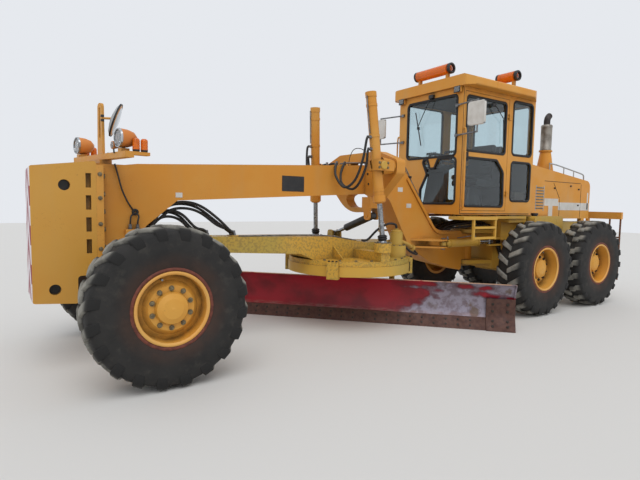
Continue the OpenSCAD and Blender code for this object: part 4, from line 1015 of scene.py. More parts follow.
def islands(vertices):
    """The separate parts of a mesh. Their vertices are keys of a dict, which keeps one order each run."""
    waiting = dict.fromkeys(vertices)
    while waiting:
        island, reached = {}, [next(iter(waiting))]
        while reached:
            vertex = reached.pop()
            if vertex not in island:
                island[vertex] = True
                reached += [edge.other_vert(vertex) for edge in vertex.link_edges]
        for vertex in island:
            del waiting[vertex]
        yield island


def pane_outlines(node):
    """The outer outline of each pane in a glass node, anticlockwise from outside, with its outward axis."""
    bm = bmesh.new()
    bm.from_mesh(FRAME["nodes"][node].data)
    bmesh.ops.remove_doubles(bm, verts=bm.verts, dist=SAME_PLACE)
    cab_middle = (CAB_LOW + CAB_HIGH) / 2
    outlines = []
    for island in islands(bm.verts):
        places = [v.co for v in island]
        spans = [max(p[i] for p in places) - min(p[i] for p in places) for i in range(3)]
        axis = spans.index(min(spans))
        outward = Vector((0, 0, 0))
        outward[axis] = 1 if sum(p[axis] for p in places) / len(places) > cab_middle[axis] else -1
        outer = dict.fromkeys(f for v in island for f in v.link_faces if f.normal.dot(outward) > 0.9)
        following = {loop.vert: loop.link_loop_next.vert for face in outer for loop in face.loops
                     if sum(f in outer for f in loop.edge.link_faces) == 1}
        start = next(iter(following))
        outline, here = [start], following[start]
        while here is not start:
            outline.append(here)
            here = following[here]
        outlines.append(([v.co.copy() for v in outline], outward))
    bm.free()
    return outlines


class WheelPartSizes(bpy.types.PropertyGroup):
    nut_width: length("Nut width", "Width of a wheel nut across its flats", 0.034)
    nut_circle: length("Nut circle", "Radius of the circle of wheel nuts", 0.166)


class CabSizes(bpy.types.PropertyGroup):
    seal_width: length("Seal width", "Width of the rubber round a pane", 0.034)
    seal_height: length("Seal height", "How far the rubber stands out", 0.009)
    cushion_height: length("Cushion height", "Height of the chair's cushions", 0.08)


class HoseSizes(bpy.types.PropertyGroup):
    thick: length("Thick hose", "Width of the hoses at the cylinders", 0.03)
    thin: length("Thin hose", "Width of thin lines and cables", 0.016)


class BladeSizes(bpy.types.PropertyGroup):
    bolt_pitch: length("Bolt pitch", "Distance between the edge's bolts", 0.152)
    end_bit: length("End bit", "Length of the plate at the left end", 0.35)
    end_bit_height: length("End bit height", "Height of that plate", 0.40)


class GRADER_OT_wheel_parts(bpy.types.Operator):
    """Make the wheels' nuts, valves and rim rings"""

    bl_idname = "grader.wheel_parts"
    bl_label = "Wheel parts"

    # Turned profiles, as [distance out, radius]; the rings' distances are from the wheel's middle
    lock_ring = [[0.168, 0.283], [0.181, 0.292], [0.184, 0.303], [0.178, 0.312], [0.166, 0.308]]
    rim_edge = [[0.165, 0.312], [0.176, 0.316], [0.180, 0.334], [0.172, 0.346], [0.162, 0.338]]
    stud = [[0, 0.009], [0.028, 0.009]]
    disc_out = {"front": 0.120, "mid": 0.060, "rear": 0.060}
    valve_turn = 20
    valve_out, valve_up = 0.128, 0.262

    def execute(self, context):
        for axle in AXLES:
            for side_name, side in SIDES.items():
                wheel = f"{axle}_{side_name}"
                centre = middle("tyre_" + wheel)
                self.nuts(context.scene, axle, wheel, centre, LEFT * side)
                self.rings(wheel, centre, LEFT * side)
                self.valve(wheel, centre, side)
        return {"FINISHED"}

    def nuts(self, scene, axle, wheel, centre, out):
        width = scene.grader_wheel_parts.nut_width
        count = scene.grader_wheels.nut_count
        first = centre + out * self.disc_out[axle] + UP * scene.grader_wheel_parts.nut_circle
        nut = Shape("dull_nut" if axle == "front" else "dark_nut").bolts([first], out, width)
        nut.lathe(first, out, self.stud, 12)
        nut.copied(count, turn=(0, 360 / count, 0), pivot=centre).piece("nuts_" + wheel, "wheel_" + wheel)

    def rings(self, wheel, centre, out):
        for name, finish, section in (("lock_ring_", "ring_paint", self.lock_ring),
                                      ("rim_edge_", "rusty_rim_edge", self.rim_edge)):
            Shape(finish).hoop(centre, out, section, 72).piece(name + wheel, "wheel_" + wheel, smooth=60)

    def valve(self, wheel, centre, side):
        out = LEFT * side
        turn = Matrix.Rotation(math.radians(self.valve_turn * side), 3, "Y")
        foot = centre + turn @ Vector((0, side * self.valve_out, self.valve_up))
        valve = Shape("worn_steel").bar(foot - out * 0.035, foot + out * 0.03, 0.012)
        valve.bar(foot + out * 0.03, foot + out * 0.045, 0.018, 12)
        valve.piece("valve_" + wheel, "wheel_" + wheel)


class GRADER_OT_front_parts(bpy.types.Operator):
    """Make what the front axle, post and nose weight carry"""

    bl_idname = "grader.front_parts"
    bl_label = "Front parts"

    # [name, where the hoses end, the first one's place across, how far the arcs hang below the highest]
    hose_groups = [["drawbar", 2.537, 0.09, 0], ["ball", 2.83, 0.03, 0.09]]
    # [distance behind the post, height] of the longer group's arc
    arc = [[0.24, 1.42], [0.376, 1.52], [0.54, 1.535], [0.695, 1.485], [0.87, 1.36]]
    rises = [0.02, -0.045, 0.0]
    arc_start = 3.60
    hose_spacing = 0.05
    # Turned profiles, as [distance along the axis, radius]
    kingpin_cap = [[0, 0.056], [0.012, 0.056], [0.018, 0.05]]
    pivot = [[0, 0.075], [0.016, 0.075], [0.02, 0.07], [0.02, 0.045], [0.05, 0.045], [0.054, 0.04]]
    clamp = [[0, 0.024], [0, 0.036], [0.04, 0.036], [0.04, 0.024]]
    # A thin disc of painted shade at the bottom of each hole in the weight
    weight_shade_disc = [[0, 0.0475], [0.001, 0.0475]]
    grommet = [[-0.002, 0.032], [0.012, 0.032], [0.018, 0.024], [0.018, 0.012], [-0.002, 0.012]]
    # [x, distance out from the beam, z] of the cable to the lamps
    cable = [[3.80, 0.012, 1.91], [3.775, 0.03, 1.80], [3.74, 0.035, 1.66], [3.68, 0.03, 1.53],
             [3.62, 0.004, 1.455]]

    def execute(self, context):
        sizes = context.scene.grader_hoses
        self.axle()
        self.lamp_cable(sizes.thin)
        self.valve(sizes.thin)
        for group in self.hose_groups:
            self.drawbar_hoses(sizes.thick, *group)
        self.nose()
        return {"FINISHED"}

    def axle(self):
        top = AXLE + Vector((0, -0.235, 0.136))
        caps = Shape("old_paint").lathe(top, UP, self.kingpin_cap, 32)
        caps.mirrored().piece("kingpin_caps", "front_frame")
        ring = around(top + UP * 0.014, AHEAD * 0.04, LEFT * 0.04, (45, 135, 225, 315))
        Shape("dull_nut").bolts(ring, UP, 0.016).mirrored().piece("kingpin_bolts", "front_frame")
        pivot = Shape("old_paint").lathe((AXLE.x + 0.074, 0, AXLE.z), AHEAD, self.pivot)
        pivot.piece("axle_pivot", "front_frame")
        eye = AXLE + Vector((-0.2, -0.36, 0.06))
        clamps = Shape("worn_steel").hoop(eye, LEFT, self.clamp, 24)
        clamps.box(eye + Vector((-0.01, 0, 0.03)), eye + Vector((0.01, 0.04, 0.055)))
        clamps.mirrored().piece("tie_rod_clamps", "tie_rod")

    def nose(self):
        sides = [(POST_FRONT - 0.031, 0.28, z) for z in (0.98, 1.112, 1.343, 1.582, 1.80)]
        Shape("dull_nut").bolts(sides, LEFT, 0.03).mirrored().piece("weight_bolts", "front_frame")
        flange = [(POST_FRONT - 0.062, 0.225, 0.96 + i * 0.165) for i in range(6)]
        Shape("dull_nut").bolts(flange, -AHEAD, 0.042).mirrored().piece("flange_bolts", "front_frame")
        # Painted shade: black discs put at the bottoms of the weight's holes, where there is only shade
        weight_shades = Shape("satin_black")
        for back, z in ((0.268, 1.693), (0.181, 0.761)):
            weight_shades.lathe((WEIGHT_FRONT - back, 0.222, z), LEFT, self.weight_shade_disc, 32)
        weight_shades.mirrored().piece("hole_bottoms", "front_frame")

    def lamp_cable(self, width):
        route = [(x, BEAM_SIDE + out, z) for x, out, z in self.cable]
        Shape("hose_rubber").hoses([route], width).piece("lamp_cable", "front_frame")
        grommet = Shape("window_rubber").hoop((3.617, BEAM_SIDE, 1.453), LEFT, self.grommet)
        grommet.piece("cable_grommet", "front_frame")

    def valve(self, width):
        """The lock valve on the post, with two hoses up to the grommet."""
        block = Shape("beam_paint").box((3.565, BEAM_SIDE - 0.002, 1.225), (3.715, BEAM_SIDE + 0.055, 1.285))
        block.piece("valve_block", "front_frame", bevel=0.005)
        tops = [Vector((x, BEAM_SIDE + 0.028, 1.285)) for x in (3.60, 3.67)]
        Shape("worn_steel").fittings(tops, UP, 0.026).piece("valve_fittings", "front_frame")
        feeds = [[(x, y, z + 0.03), (x, y + 0.012, z + 0.08), (x - 0.01, y + 0.005, z + 0.13),
                  (3.617 + (x - 3.63) * 0.2, BEAM_SIDE + 0.004, 1.44)] for x, y, z in tops]
        Shape("hose_rubber").hoses(feeds, width).piece("valve_hoses", "front_frame")

    def drawbar_hoses(self, width, name, end_x, first_y, hang):
        """Three hoses in an arc from the post to a block on the drawbar."""
        top = drawbar_top(end_x)
        reach = (self.arc_start - end_x) / (self.arc_start - self.hose_groups[0][1])
        bundle, ends = [], []
        for i, rise in enumerate(self.rises):
            y = first_y - i * self.hose_spacing
            start = [(self.arc_start, y, 1.20 - hang * 0.4), (self.arc_start - 0.125, y, 1.284 - hang * 0.5)]
            arc = [(self.arc_start - back * reach, y, z + rise - hang) for back, z in self.arc]
            bundle.append(start + arc + [(end_x + 0.063 * reach, y, 1.26), (end_x, y, top + 0.02)])
            ends.append((end_x, y, top))
        Shape("hose_rubber").hoses(bundle, width).piece(
            name + "_hoses", "front_frame", bend=("drawbar", (3.30, 0, 1.45), (end_x, 0, 1.23)))
        Shape("worn_steel").fittings(ends, (0.2, 0, 1), width * 0.95).piece(name + "_fittings", "drawbar")
        block = Shape("old_paint").box((end_x - 0.037, first_y - 0.135, top - 0.03),
                                       (end_x + 0.038, first_y + 0.035, top))
        block.piece(name + "_block", "drawbar", bevel=0.004)


class GRADER_OT_lamps(bpy.types.Operator):
    """Make the headlamps, turn lamps, mirror and their brackets"""

    bl_idname = "grader.lamps"
    bl_label = "Lamps"

    # [distance along the axis, radius]
    bowl = [[-0.12, 0], [-0.115, 0.03], [-0.085, 0.062], [-0.03, 0.08], [0.035, 0.085], [0.05, 0.083],
            [0.05, 0.074], [0.03, 0.074], [-0.02, 0.062], [-0.06, 0.03], [-0.062, 0]]
    glass = [[0.034, 0], [0.034, 0.073], [0.046, 0.073], [0.052, 0.05], [0.055, 0]]
    bezel = [[0.042, 0.072], [0.056, 0.074], [0.056, 0.084], [0.04, 0.087]]
    turn_base = [[0, 0.028], [0.014, 0.0315], [0.02, 0.0315], [0.02, 0]]
    turn_lens = [[0.02, 0], [0.02, 0.032], *[[0.03 + 0.011 * k, 0.032 - 0.0015 * (k % 2)] for k in range(7)],
                 [0.112, 0.028], [0.12, 0.018], [0.12, 0]]
    small_bowl = [[-0.05, 0], [-0.04, 0.025], [0, 0.036], [0.012, 0.036], [0.012, 0]]
    small_glass = [[0.012, 0], [0.012, 0.032], [0.02, 0.02], [0.021, 0]]
    dish = [[0.048, 0.158], [0.0625, 0.110], [0.0705, 0.06], [0.0712, 0]]
    dish_back = [[-0.0015, 0], [0.0025, 0.06], [0.0185, 0.1305], [0.0375, 0.1607], [0.03, 0.14], [0.006, 0]]
    dish_rim = [[0.036, 0.156], [0.036, 0.165], [0.052, 0.165], [0.052, 0.156]]
    lamp_y = 0.5
    stem_z = 0.0303

    def execute(self, context):
        self.headlamps()
        self.turn_lamps()
        self.small_lamp()
        self.mirror()
        feet = [on_lamp_bar(0, y, 0) for y in (-0.3, -0.16, 0.16, 0.3)]
        Shape("dull_nut").bolts(feet, UP, 0.022).piece("bar_bolts", "front_frame")
        return {"FINISHED"}

    def headlamps(self):
        ahead = LAMP_TURN @ AHEAD
        bowls, lenses, rings = Shape("lamp_paint"), Shape("lamp_lens"), Shape("lamp_ring")
        for side in SIDES.values():
            foot = on_lamp_bar(0, self.lamp_y * side, self.stem_z)
            lamp = foot + UP * 0.088
            bowls.lathe(lamp, ahead, self.bowl).bar(foot, foot + UP * 0.02, 0.03)
            lenses.lathe(lamp, ahead, self.glass)
            rings.hoop(lamp, ahead, self.bezel)
        bowls.piece("lamp_bowls", "front_frame", replaces=["headlamps"], smooth=50)
        lenses.piece("lamp_lenses", "front_frame")
        rings.piece("lamp_rings", "front_frame", smooth=50)

    def turn_lamps(self):
        bases, lenses = Shape("satin_black"), Shape("amber_lens")
        for side in SIDES.values():
            for back in (0.075, 0.151):
                foot = on_lamp_bar(-back, 0.585 * side, 0.0003)
                bases.lathe(foot, UP, self.turn_base, 32)
                lenses.lathe(foot, UP, self.turn_lens, 32)
        bases.piece("turn_lamp_bases", "front_frame")
        lenses.piece("turn_lamp_lenses", "front_frame", smooth=50)

    def small_lamp(self):
        ahead = LAMP_TURN @ AHEAD
        place = on_lamp_bar(0.05, 0.40, 0.06)
        Shape("lamp_paint").lathe(place, ahead, self.small_bowl).piece("small_lamp", "front_frame")
        Shape("lamp_lens").lathe(place, ahead, self.small_glass).piece("small_lens", "front_frame")
        post = Shape("satin_black").bar(on_lamp_bar(0.045, 0.40, -0.01), place, 0.014)
        post.piece("small_lamp_post", "front_frame")

    def mirror(self):
        centre = on_lamp_bar(-0.062, 0.09, 0.345)
        facing = LAMP_TURN @ Vector((-0.8374, 0.4266, -0.342))
        glass = Shape("silvered_glass").lathe(centre, facing, self.dish)
        glass.piece("nose_mirror_glass", "front_frame", smooth=60)
        back = Shape("grey_plate").lathe(centre, facing, self.dish_back, 64)
        back.piece("nose_mirror_back", "front_frame", smooth=60)
        rim = Shape("window_rubber").hoop(centre, facing, self.dish_rim, 64)
        rim.piece("nose_mirror_rim", "front_frame", smooth=60)
        clamps = Shape("satin_black")
        for z in (0.325, 0.365):
            clamps.box(on_lamp_bar(-0.016, 0.028, z) - UP * 0.012, on_lamp_bar(0.018, 0.052, z) + UP * 0.012)
        clamps.piece("mirror_clamps", "front_frame", bevel=0.003)


class GRADER_OT_lift_parts(bpy.types.Operator):
    """Make the lift cylinders' glands, caps and hoses, and the beam's lines"""

    bl_idname = "grader.lift_parts"
    bl_label = "Lift parts"

    # Turned profiles, as [distance along the axis, radius]
    gland = [[-0.001, 0.060], [0.012, 0.060], [0.016, 0.054], [0.02, 0.04], [0.02, 0.0315]]
    band = [[0, 0.061], [0, 0.067], [0.03, 0.067], [0.03, 0.061]]
    boot = [[0, 0.034], [0, 0.052], *[[0.012 * k, 0.060 - 0.010 * (k % 2)] for k in range(1, 6)],
            [0.07, 0.034]]
    barrel_cap = [[0, 0.045], [0.012, 0.045], [0.016, 0.04]]
    trunnion_cap = [[-0.001, 0.05], [0.012, 0.05], [0.018, 0.042]]
    # A thin disc of painted shade that stands for an index hole
    index_shade_disc = [[0, 0.016], [0.002, 0.016]]
    # The left cylinder's hoses, from its barrel down and up again to the beam
    hose_routes = [
        [(1.09, 0.645, 2.36), (1.125, 0.65, 2.33), (1.15, 0.62, 2.10), (1.18, 0.52, 1.86), (1.25, 0.40, 1.77),
         (1.28, 0.26, 1.91), (1.21, 0.16, 2.05), (1.16, 0.11, 2.075)],
        [(1.08, 0.65, 2.22), (1.105, 0.65, 2.19), (1.10, 0.62, 2.02), (1.13, 0.54, 1.83), (1.16, 0.44, 1.75),
         (1.23, 0.33, 1.81), (1.19, 0.24, 1.94), (1.08, 0.16, 2.08), (1.03, 0.10, 2.09)],
    ]
    # [x, z] of the steel lines that follow the gooseneck, and of the lock valve's cable
    line_route = [[1.10, 2.075], [0.98, 2.092], [0.60, 2.118], [0.20, 2.148], [0.06, 2.14], [-0.03, 2.05],
                  [-0.15, 1.865], [-0.35, 1.61], [-0.366, 1.545]]
    cable_route = [[0.98, 2.08], [0.96, 2.18], [0.90, 2.27], [0.80, 2.29], [0.70, 2.26]]
    # [x, z, width, height]
    decals = [[3.183, 1.629, 0.07, 0.05], [0.11, 1.78, 0.09, 0.06], [-0.06, 1.56, 0.09, 0.06]]
    trunnion_z = 2.03

    def execute(self, context):
        for name, side in SIDES.items():
            self.ball_cap(name, side)
        self.barrels()
        self.lift_hoses(context.scene.grader_hoses.thick)
        self.gooseneck()
        self.beam_plates()
        return {"FINISHED"}

    def barrels(self):
        bands = Shape("beam_paint").lathe(along_lift(1.60), -LIFT_LEAN, self.gland, 32)
        for z in (1.72, 2.36, 2.72):
            bands.hoop(along_lift(z), LIFT_LEAN, self.band)
        bands.mirrored().piece("lift_bands", "front_frame")
        top = along_lift(high("lift_barrel_left").z - 0.018)
        caps = Shape("old_paint").lathe(top, LIFT_LEAN, self.barrel_cap, 32)
        caps.mirrored().piece("lift_caps", "front_frame")
        caps, cap_bolts = Shape("old_paint"), Shape("dull_nut")
        for out in (LEFT, -LEFT):
            face = along_lift(self.trunnion_z) + out * 0.13
            caps.lathe(face, out, self.trunnion_cap, 32)
            cap_bolts.bolts(around(face, AHEAD * 0.085, UP * 0.0425, (40, 140, 220, 320)), out, 0.024)
        caps.mirrored().piece("trunnion_caps", "front_frame")
        cap_bolts.mirrored().piece("trunnion_bolts", "front_frame")

    def ball_cap(self, name, side):
        ball, lean = on_side(LIFT_BALL, side), on_side(LIFT_LEAN, side)
        bolt = Shape("dull_nut").bolts([ball + AHEAD * 0.0915], UP, 0.022)
        bolt.copied(8, turn=(0, 0, 45), pivot=ball).piece("ball_bolts_" + name, "drawbar")
        Shape("window_rubber").hoop(ball + lean * 0.03, lean, self.boot, 32).piece(
            "ball_boot_" + name, "lift_rod_" + name, smooth=60)

    def lift_hoses(self, width):
        Shape("hose_rubber").hoses(self.hose_routes, width).mirrored().piece("lift_hoses", "front_frame")
        steel = Shape("worn_steel")
        for route in self.hose_routes:
            steel.fittings([Vector(route[0]) - AHEAD * 0.035], AHEAD, 0.030)
            steel.fittings([(*route[-1][:2], 2.05)], UP, 0.028)
        pipe = [along_lift(z) + Vector((0.075, 0.012, 0)) for z in (2.40, 2.6, 2.84)]
        steel.tube(pipe, 0.014, smoothness=2)
        steel.mirrored().piece("lift_fittings", "front_frame")

    def gooseneck(self):
        routes = [[(x, y, z) for x, z in self.line_route] for y in (0.095, 0.13)]
        Shape("worn_steel").hoses(routes, 0.018).piece("gooseneck_lines", "front_frame")
        clamps = Shape("satin_black")
        for x, z in ((0.40, 2.125), (-0.09, 1.955)):
            clamps.box((x - 0.02, 0.075, z - 0.012), (x + 0.02, 0.15, z + 0.02))
        clamps.piece("line_clamps", "front_frame", bevel=0.003)
        cable = [(x, 0.12, z) for x, z in self.cable_route]
        Shape("hose_rubber").hoses([cable], 0.010).piece("lock_cable", "front_frame")
        # Painted shade: black discs where the index holes are, in place of the holes' shade
        index_shades = Shape("satin_black")
        for y, z in ((0.20, 2.09), (0.215, 1.96), (0.235, 1.83)):
            index_shades.lathe((0.7395, y, z), AHEAD, self.index_shade_disc, 24)
        index_shades.mirrored().piece("index_holes", "front_frame")

    def beam_plates(self):
        Shape("satin_black").box((1.675, BEAM_SIDE - 0.002, 1.705), (1.975, BEAM_SIDE + 0.004, 1.885)).piece(
            "beam_plate", "front_frame", bevel=0.001)
        plates = Shape("white_paint")
        for x, z, width, height in self.decals:
            plates.box((x - width / 2, BEAM_SIDE - 0.002, z - height / 2),
                       (x + width / 2, BEAM_SIDE + 0.002, z + height / 2))
        plates.mirrored().piece("blank_decals", "front_frame")


class GRADER_OT_cab_parts(bpy.types.Operator):
    """Make the cab's window rubbers, wipers, mirrors, handles, lamps and inside"""

    bl_idname = "grader.cab_parts"
    bl_label = "Cab parts"

    # Turned profiles, as [distance along the axis, radius]
    beacon_end = [[0.002, 0.05], [0, 0.066], [0.008, 0.075], [0.04, 0.075], [0.04, 0.05]]
    beacon_rib = 0.012
    dial = [[0, 0.036], [0.012, 0.036], [0.014, 0.03]]
    knob = [[-0.01, 0.006], [0, 0.014], [0.016, 0.017], [0.03, 0.012], [0.034, 0.002]]
    dial_facing = (-0.34, 0, 0.94)
    # [distance behind the cab's front, distance out from its side, height] of a rail at the front corners
    grab_rail = [[0.02, 0.002, 2.62], [0.015, 0.05, 2.60], [0.015, 0.055, 2.2], [0.015, 0.055, 1.75],
                 [0.015, 0.05, 1.56], [0.02, 0.002, 1.54]]
    floor_top = 1.49
    deck_top = 1.43
    mirror_y, mirror_z = 0.95, 2.775

    def execute(self, context):
        sizes = context.scene.grader_cab
        for name, node, body in (("cab_seals", "cab_glass", "rear_frame"),
                                 ("door_seals", "door_glass", "cab_door")):
            shape = Shape("window_rubber")
            for outline, outward in pane_outlines(node):
                self.seal(shape, outline, outward, sizes)
            shape.piece(name, body, smooth=60)
        self.wipers()
        self.handles()
        self.mirrors()
        self.seams()
        self.roof_edge()
        self.beacons()
        self.chair(sizes.cushion_height)
        self.desk()
        self.lining()
        return {"FINISHED"}

    def seal(self, shape, outline, outward, sizes):
        """Rubber round a pane, from the glass over the wall's edge."""
        half = sizes.seal_width / 2
        height = sizes.seal_height
        face = CAB_WALL / 2 - 0.004
        # [way out from the edge, height]
        section = [[-half, 0.001], [-half, face + height * 0.5], [-half * 0.5, face + height],
                   [half * 0.6, face + height], [half, face + height * 0.4], [half, face - 0.001]]
        rings = []
        for i, here in enumerate(outline):
            before, after = outline[i - 1], outline[(i + 1) % len(outline)]
            away = ((here - before).normalized() + (after - here).normalized()).cross(outward).normalized()
            rings.append([here + away * out + outward * up for out, up in section])
        shape.loft(rings + rings[:1], capped=False)

    def wipers(self):
        x, y = CAB_FRONT, CAB_SIDE
        front = Shape("satin_black").box((x + 0.002, 0.02, 3.115), (x + 0.05, 0.10, 3.165))
        front.bar((x + 0.045, 0.06, 3.13), (x + 0.035, -0.20, 2.72), 0.012)
        front.bar((x + 0.018, -0.26, 2.96), (x + 0.018, -0.13, 2.46), 0.016)
        front.box((x - 0.016, -0.202, 2.70), (x + 0.04, -0.198, 2.74))
        front.piece("front_wiper", "rear_frame", bevel=0.002)
        door = Shape("satin_black").box((-1.235, y + 0.001, 2.99), (-1.165, y + 0.035, 3.04))
        door.tube([(-1.21, y + 0.04, 3.01), (-1.34, y + 0.042, 2.90), (-1.452, y + 0.03, 2.81),
                   (-1.455, y + 0.022, 2.70)], 0.012)
        door.bar((-1.45, y + 0.012, 2.84), (-1.47, y + 0.012, 2.50), 0.016)
        door.piece("door_wiper", "cab_door")

    def handles(self):
        x, y = -0.665, CAB_SIDE
        handle = Shape("satin_black").box((x - 0.05, y - 0.001, 2.20), (x + 0.02, y + 0.006, 2.32))
        # [distance out from the cab's side, height]
        grip = [[0.004, 2.225], [0.035, 2.235], [0.035, 2.295], [0.004, 2.305]]
        handle.tube([(x, y + out, z) for out, z in grip], 0.014)
        handle.piece("door_handle", "cab_door")
        route = [(CAB_FRONT - back, y + out, z) for back, out, z in self.grab_rail]
        rails = Shape("cab_paint").tube(route, 0.024)
        rails.mirrored().piece("cab_grab_rails", "rear_frame")

    def mirrors(self):
        y, z = self.mirror_y, self.mirror_z
        shell = rounded_outline(y - 0.135, z - 0.153, y + 0.135, z + 0.153, 0.04)
        Shape("white_paint").plate(shell, CAB_FRONT + 0.107, 0.036).mirrored().piece(
            "mirror_shells", "rear_frame", bevel=0.008)
        glass = rounded_outline(y - 0.12, z - 0.138, y + 0.12, z + 0.138, 0.03)
        Shape("silvered_glass").plate(glass, CAB_FRONT + 0.105, 0.003).mirrored().piece(
            "mirror_glasses", "rear_frame")
        clamps = Shape("satin_black")
        for clamp_z in (2.66, 2.88):
            clamps.box((CAB_FRONT + 0.09, y - 0.02, clamp_z - 0.015),
                       (CAB_FRONT + 0.108, y + 0.02, clamp_z + 0.015))
        clamps.mirrored().piece("mirror_brackets", "rear_frame", bevel=0.003)

    def seams(self):
        corner_x = CAB_FRONT - 0.012
        seams = Shape("window_rubber").box((CAB_LOW.x + 0.05, CAB_SIDE, 1.462),
                                           (CAB_FRONT - 0.02, CAB_SIDE + 0.003, 1.47))
        seams.bar((corner_x, CAB_SIDE + 0.001, 1.46), (corner_x, CAB_SIDE + 0.001, 3.18), 0.006, 8)
        seams.mirrored().piece("cab_seams", "rear_frame")
        treads = Shape("old_paint")
        for i in range(9):
            x = CAB_FRONT - 0.385 + i * 0.04
            treads.box((x, CAB_SIDE + 0.015, self.deck_top - 0.0002),
                       (x + 0.014, 0.95, self.deck_top + 0.004))
        treads.mirrored().piece("deck_treads", "rear_frame")

    def roof_edge(self):
        """Work lamps under the roof's front edge, and the seams down its sides."""
        x, top, y0, y1 = CAB_FRONT, CAB_HIGH.z, 0.495, 0.595
        frames = Shape("satin_black")
        frames.box((x + 0.046, y0 - 0.004, top - 0.084), (x + 0.056, y1 + 0.004, top + 0.002))
        frames.mirrored().piece("work_lamp_frames", "rear_frame", bevel=0.003)
        lenses = Shape("lamp_lens")
        lenses.box((x + 0.054, y0 + 0.006, top - 0.074), (x + 0.060, y1 - 0.006, top - 0.008))
        lenses.mirrored().piece("work_lamp_lenses", "rear_frame", bevel=0.003)
        seams = Shape("cab_paint").bar((-1.07, 0.79, 3.205), (-1.07, 0.79, 3.30), 0.007, 8)
        seams.mirrored().piece("roof_seams", "rear_frame")

    def beacons(self):
        roof = high("cab_roof").z + 0.0003
        z = roof + 0.15
        lamps, ends, feet = Shape("amber_lens"), Shape("satin_black"), Shape("cab_paint")
        for x, y0, y1 in ((CAB_FRONT - 0.05, -0.33, 0.36), (CAB_LOW.x + 0.57, 0.33, 0.69)):
            count = int((y1 - y0 - 0.08) / self.beacon_rib)
            ribs = [[0.04 + k * self.beacon_rib, 0.073 + 0.0015 * (k % 2)] for k in range(count)]
            lamps.lathe((x, y0, z), LEFT, [[0.036, 0], *ribs, [y1 - y0 - 0.036, 0]], 40)
            for y, way in ((y0, 1), (y1, -1)):
                ends.hoop((x, y, z), LEFT * way, self.beacon_end, 40)
                foot_y = y + way * 0.08
                feet.box((x - 0.025, foot_y - 0.02, roof), (x + 0.025, foot_y + 0.02, roof + 0.0897))
            feet.box((x - 0.035, y0 + 0.05, roof), (x + 0.035, y1 - 0.05, roof + 0.0117))
        lamps.piece("beacon_lenses", "rear_frame", replaces=["beacons"], smooth=25)
        ends.piece("beacon_ends", "rear_frame", smooth=60)
        feet.piece("beacon_feet", "rear_frame", bevel=0.003)

    def chair(self, cushion):
        floor = low("driver_chair").z
        x = low("driver_chair").x + 0.25
        seat = Shape("seat_vinyl")
        seat.box((x - 0.02, -0.23, floor + 0.495), (x + 0.42, 0.23, floor + 0.495 + cushion))
        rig.padded(seat.piece("seat_cushion", "rear_frame", bevel=0.03))
        lean = Matrix.Rotation(math.radians(-13), 3, "Y")
        back = Shape("seat_vinyl")
        back.box((x - 0.07, -0.22, floor + 0.56), (x + 0.02, 0.22, floor + 1.06), turn=lean)
        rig.padded(back.piece("back_cushion", "rear_frame", bevel=0.03))
        arms = Shape("seat_vinyl").box((x - 0.02, 0.245, floor + 0.70), (x + 0.30, 0.305, floor + 0.745))
        arms.bar((x + 0.02, 0.24, floor + 0.52), (x + 0.02, 0.275, floor + 0.71), 0.024)
        arms.mirrored().piece("chair_arms", "rear_frame", bevel=0.01)

    def desk(self):
        floor = low("driver_chair").z
        x = CAB_FRONT - 0.27
        desk = Shape("satin_black").box((x, -0.26, floor + 0.60), (x + 0.17, 0.26, floor + 0.66),
                                        turn=Matrix.Rotation(math.radians(20), 3, "Y"))
        desk.piece("instrument_desk", "rear_frame", bevel=0.01)
        dials, levers, knobs = Shape("grey_plate"), Shape("worn_steel"), Shape("satin_black")
        for y in (-0.11, 0, 0.11):
            dials.lathe((x + 0.05, y, floor + 0.672), self.dial_facing, self.dial, 24)
        for i in range(5):
            foot = Vector((x + 0.10, 0.10 + 0.034 * i, floor + 0.66))
            tip = foot + Vector((-0.09, 0.006 * i, 0.20))
            levers.bar(foot, tip, 0.010, 8)
            knobs.lathe(tip, tip - foot, self.knob, 16)
        dials.piece("dials", "rear_frame")
        levers.mirrored().piece("levers", "rear_frame")
        knobs.mirrored().piece("lever_knobs", "rear_frame", smooth=60)

    def lining(self):
        y = CAB_SIDE - CAB_WALL - 0.01
        back, front, floor = CAB_LOW.x + CAB_WALL, CAB_FRONT - CAB_WALL, self.floor_top
        lining = Shape("dark_lining").box((back + 0.01, -y, 3.145), (front - 0.06, y, 3.165))
        lining.box((back + 0.006, -y, floor + 0.005), (back + 0.014, y, 2.30))
        lining.box((back + 0.02, -y, floor + 0.0005), (front - 0.02, y, floor + 0.004))
        lining.piece("cab_lining", "rear_frame")
        lockers = Shape("brown_locker").box((back + 0.03, 0.30, floor + 0.005), (back + 0.28, 0.55, 1.80))
        lockers.box((back + 0.03, -0.55, floor + 0.005), (back + 0.33, -0.28, 1.95))
        lockers.piece("cab_lockers", "rear_frame", bevel=0.012)


